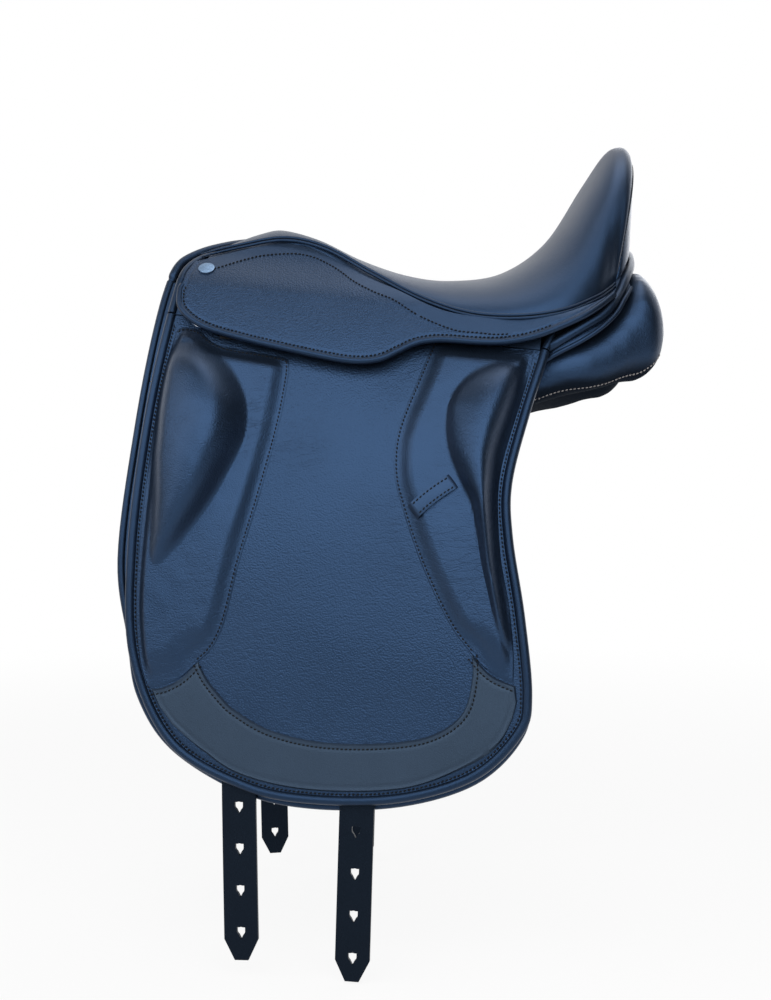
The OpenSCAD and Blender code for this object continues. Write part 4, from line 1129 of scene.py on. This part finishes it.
class SADDLE_OT_panels(bpy.types.Operator):
    """Stuffed panels under the tree"""

    bl_idname = "saddle.panels"
    bl_label = "Panels"

    def execute(self, context):
        rows = PANEL_ROWS
        n = len(rows) - 1

        def power(x, p):
            return np.sign(x) * np.power(np.abs(x), p)

        def shape(u, v):
            r = rows[np.rint(u * n).astype(int)]
            w = 2.0 * math.pi * v
            round_off = 0.75
            sag = 0.3 * ease((r[:, 0] - 150.0) / 60.0)
            along_w = (r[:, 3] - 1.0) * power(np.cos(w), round_off)
            thick = (r[:, 4] - 1.0) * power(np.sin(w), round_off)
            k = np.radians(r[:, 5])
            return np.column_stack([r[:, 0], -r[:, 1] - along_w * np.cos(k) - thick * np.sin(k),
                                    r[:, 2] - along_w * (np.sin(k) + sag) + thick * np.cos(k)])

        bm = closed(field(n, 56, shape), 1e-6)
        bmesh.ops.triangulate(bm, faces=[f for f in bm.faces if len(f.verts) > 4])
        bm = plumped(bm, voxel=0.005, pressure=4.0, cap=0.003)
        for _ in range(9):
            bmesh.ops.smooth_vert(bm, verts=bm.verts[:], factor=0.5, use_axis_x=True, use_axis_y=True,
                                  use_axis_z=True)
        skin = BVHTree.FromBMesh(bm)
        pair = both_sides("panel", bm, "saddle", "lining", "panel")
        for obj in pair:
            # The under attribute grows as a point faces down; it takes the lining's shine away there,
            # partly as a matte underside and partly as painted shade.
            facing = np.array([v.normal.z for v in obj.data.vertices])
            under = ease((-0.25 - facing) / 0.5)
            obj.data.attributes.new("under", "FLOAT", "POINT").data.foreach_set("value", under)
            soften = obj.modifiers.new("Soften", "SUBSURF")
            soften.levels = 1
            soften.render_levels = 1
        keep = np.flatnonzero((rows[:, 0] > 118) & (rows[:, 0] < 254))
        seam_turn = 1.0 - 45.0 / 360.0
        seam = shape(keep / n, np.full(len(keep), seam_turn))
        seam = np.array([skin.find_nearest(Vector(p) * MM)[0] for p in seam]) / MM
        bm = bmesh.new()
        stitch_row(bm, seam, lambda p: skin.find_nearest(Vector(p) * MM)[1])
        both_sides("panel_stitching", bm, "saddle", "pale_thread")
        return {"FINISHED"}


class SADDLE_OT_stitching(bpy.types.Operator):
    """Thread along every sewn line"""

    bl_idname = "saddle.stitching"
    bl_label = "Stitching"

    def execute(self, context):
        bm = bmesh.new()
        edge = inset(FLAP_LINE, 9.6)
        stitch_row(bm, roll(edge[edge[:, 1] < -8], 3.9), OUTWARD)
        for line in (inset(KNEE_TOP, -2.2), inset(KNEE_REAR, -2.2), inset(THIGH_FRONT, 2.2)):
            stitch_row(bm, roll(line, 4.8), OUTWARD)
        for w in (-4.8, 4.8):
            row = np.full(20, 0.5 + w / KEEPER_WIDTH)
            stitch_row(bm, SADDLE_OT_blocks.keeper_face(np.linspace(0.1, 0.9, 20), row), OUTWARD)
        for line in PATCH_TOP_PARTS:
            stitch_row(bm, roll(inset(line, -4.4), 5.8), OUTWARD)
        both_sides("flap_stitching", bm, "flap", "thread")
        bm = bmesh.new()
        stitch_row(bm, roll(inset(SKIRT_LINE, 7.2), over_skirt(3.6)), OUTWARD)
        strip = STRIP_LINE[STRIP_LINE[:, 0] < 29]
        stitch_row(bm, roll(strip, over_skirt(4.2)), OUTWARD)
        bending("skirt_stitching", bm, "thread")
        bm = bmesh.new()
        strip = STRIP_LINE[(STRIP_LINE[:, 0] > 30) & (STRIP_LINE[:, 0] < 112)]
        stitch_row(bm, roll(strip, over_skirt(4.2)), OUTWARD)
        line = inset(TAIL_LINE, 7.2)
        stitch_row(bm, roll(line[line[:, 0] < 150], over_skirt(3.4)), OUTWARD)
        rows = len(SEAT_ROWS) - 1
        turn = np.linspace(0.03, math.pi - 0.03, 90)
        rim = SADDLE_OT_seat.point(np.full(len(turn), rows - 2.6), turn, 1.0)
        near_half = rim[:len(turn) // 2 + 1]
        stitch_row(bm, near_half, lambda p: (p[0] - 200.0, p[1] * 2.0, 30.0))
        both_sides("tail_stitching", bm, "saddle", "thread")
        return {"FINISHED"}


class SADDLE_OT_straps(bpy.types.Operator):
    """Girth billets, girth webs and the small leathers"""

    bl_idname = "saddle.straps"
    bl_label = "Straps"

    def execute(self, context):
        for side in SIDES:
            for which in ("front", "rear"):
                body = f"{which}_billet_{side}"
                from_solid(f"{which}_billet_strap_{side}", [body], body, "strap", 0.7)
        from_solid("girth_web_straps", ["girth_webs"], "saddle", "woven", 0.3)
        from_solid("seat_web_straps", ["seat_webbing"], "saddle", "woven", 0.3)
        from_solid("dee_chape_leathers", ["dee_chapes"], "saddle", "strap", 0.3)
        return {"FINISHED"}


class SADDLE_OT_fittings(bpy.types.Operator):
    """Finishes of the studs, rings, bars and the tree"""

    bl_idname = "saddle.fittings"
    bl_label = "Fittings"

    def execute(self, context):
        painted = {"head_studs": "silver", "tree_head": "beech", "tree_rails": "beech", "head_plate": "steel",
                "head_rivets": "steel", "bar_rivets": "steel", "catch_pins": "steel", "web_rivets": "steel"}
        for side in SIDES:
            painted.update({f"dee_ring_{side}": "chrome", f"stirrup_bar_{side}": "steel",
                         f"stirrup_catch_{side}": "steel"})
        for node, finish in painted.items():
            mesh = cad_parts[node].data
            mesh.materials.clear()
            mesh.materials.append(FINISH[finish])
        return {"FINISHED"}


class SADDLE_OT_stage(bpy.types.Operator):
    """Pale floor, soft studio light and the camera"""

    bl_idname = "saddle.stage"
    bl_label = "Stage"

    def execute(self, context):
        bm = bmesh.new()
        bmesh.ops.create_grid(bm, x_segments=2, y_segments=2, size=40.0)
        bmesh.ops.translate(bm, verts=bm.verts[:], vec=(0.0, 0.0, -0.5))
        floor = finish_mesh("floor", bm, smooth=False)
        mat, g = material("Pale floor")
        floor.data.materials.append(mat)
        base = g.surface({"Base Color": (0.8, 0.8, 0.8, 1.0), "Roughness": 0.7})
        position = g.nodes.new("ShaderNodeNewGeometry").outputs["Position"]
        distance = g.add("VectorMath", {0: position})
        distance.operation = "LENGTH"
        # Near the saddle the floor keeps a faint shadow, further out it is plain white
        white = g.add("MapRange", {"Value": distance.outputs["Value"], "From Min": 0.9, "From Max": 2.6,
                                   "To Min": 0.9, "To Max": 1.0})
        white.interpolation_type = "SMOOTHSTEP"
        glow = g.add("Emission", {"Color": (1.0, 1.0, 1.0, 1.0)})
        share = g.calc("MULTIPLY", g.white_rays(), white.outputs["Result"])
        mix = g.add("MixShader", {0: share, 1: base.outputs[0], 2: glow.outputs[0]})
        g.links.new(mix.outputs[0], g.nodes["Material Output"].inputs[0])
        self.flag()
        self.room()
        self.lamps()
        cam = bpy.data.cameras.new("Camera")
        cam.lens = 46.8
        cam.sensor_width = 36.0
        cam.sensor_fit = "AUTO"
        eye = bpy.data.objects.new("Camera", cam)
        eye.location = (0.0, -1.3, -0.085)
        eye.rotation_euler = (math.radians(90.0), 0.0, 0.0)
        context.scene.collection.objects.link(eye)
        context.scene.camera = eye
        context.scene.view_settings.view_transform = "Standard"
        return {"FINISHED"}

    def flag(self):
        """A dark curved card round the front, so that the leather doesn't mirror white all round."""
        bm = bmesh.new()
        bmesh.ops.create_grid(bm, x_segments=48, y_segments=8, size=0.5)
        bend = 0.75
        for vert in bm.verts:
            turn = math.radians(270.0 + 200.0 * vert.co.x)
            v = vert.co.y + 0.5
            lean = max(0.0, (v - bend) / (1.0 - bend))
            far = 2.9 - 1.7 * lean
            high = -0.495 + 3.0 * min(1.0, v / bend) + 0.5 * lean
            vert.co = (far * math.cos(turn), far * math.sin(turn), high)
        card = finish_mesh("flag", bm, smooth=False)
        card.visible_camera = False
        mat, g = material("Dark card")
        g.surface({"Base Color": (0.02, 0.02, 0.02, 1.0), "Roughness": 0.9})
        card.data.materials.append(mat)

    def room(self):
        """White to the camera and in reflections, an even grey to the rest."""
        world = bpy.data.worlds.new("Room")
        bpy.context.scene.world = world
        world.use_nodes = True
        g = Graph(world.node_tree)
        g.nodes.clear()
        white = g.add("Background", {"Color": (1.0, 1.0, 1.0, 1.0), "Strength": 1.0})
        grey = g.add("Background", {"Color": (1.0, 1.0, 1.0, 1.0), "Strength": look().room_light})
        mix = g.add("MixShader", {0: g.white_rays(), 1: grey.outputs[0], 2: white.outputs[0]})
        g.add("OutputWorld", {0: mix.outputs[0]})

    def lamps(self):
        """A wide soft key from the front above, one from the left and two weaker fills."""
        for name, place, size, power in (
                ("Key", (0.0, -1.93, 0.98), (3.0, 2.3), look().key_power * 1.15),
                ("Left", (-1.75, -1.02, 0.8), (1.4, 1.8), look().key_power * 0.36),
                ("Top", (0.3, -0.1, 1.7), (1.0, 1.0), look().key_power * 0.08),
                ("Rear", (0.9, 1.7, 0.9), (1.0, 1.4), look().key_power * 0.16)):
            lamp = bpy.data.lights.new(name, "AREA")
            lamp.shape = "RECTANGLE"
            lamp.energy = power
            lamp.size, lamp.size_y = size
            obj = bpy.data.objects.new(name, lamp)
            obj.location = place
            towards = Vector((0.0, 0.0, -0.1)) - Vector(place)
            obj.rotation_euler = towards.to_track_quat("-Z", "Y").to_euler()
            bpy.context.scene.collection.objects.link(obj)


class SADDLE_PT_panel(bpy.types.Panel):
    """Lists the saddle's sizes, colours and pieces"""

    bl_idname = "SADDLE_PT_panel"
    bl_label = "Saddle"
    bl_space_type = "VIEW_3D"
    bl_region_type = "UI"
    bl_category = "Saddle"

    def draw(self, context):
        for name in SaddleLook.__annotations__:
            self.layout.prop(context.scene.saddle_look, name)
        for piece in PIECES:
            self.layout.operator(piece.bl_idname)


PIECES = (SADDLE_OT_flaps, SADDLE_OT_blocks, SADDLE_OT_seat, SADDLE_OT_skirts, SADDLE_OT_panels,
          SADDLE_OT_stitching, SADDLE_OT_straps, SADDLE_OT_fittings, SADDLE_OT_stage)


def register():
    for cls in (SaddleLook, *PIECES, SADDLE_PT_panel):
        bpy.utils.register_class(cls)
    bpy.types.Scene.saddle_look = bpy.props.PointerProperty(type=SaddleLook)


def unregister():
    del bpy.types.Scene.saddle_look
    for cls in (SADDLE_PT_panel, *reversed(PIECES), SaddleLook):
        bpy.utils.unregister_class(cls)


def main():
    register()
    bpy.ops.saddle.flaps()
    bpy.ops.saddle.blocks()
    bpy.ops.saddle.seat()
    bpy.ops.saddle.skirts()
    bpy.ops.saddle.panels()
    bpy.ops.saddle.stitching()
    bpy.ops.saddle.straps()
    bpy.ops.saddle.fittings()
    bpy.ops.saddle.stage()
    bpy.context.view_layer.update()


if __name__ == "__main__":
    main()
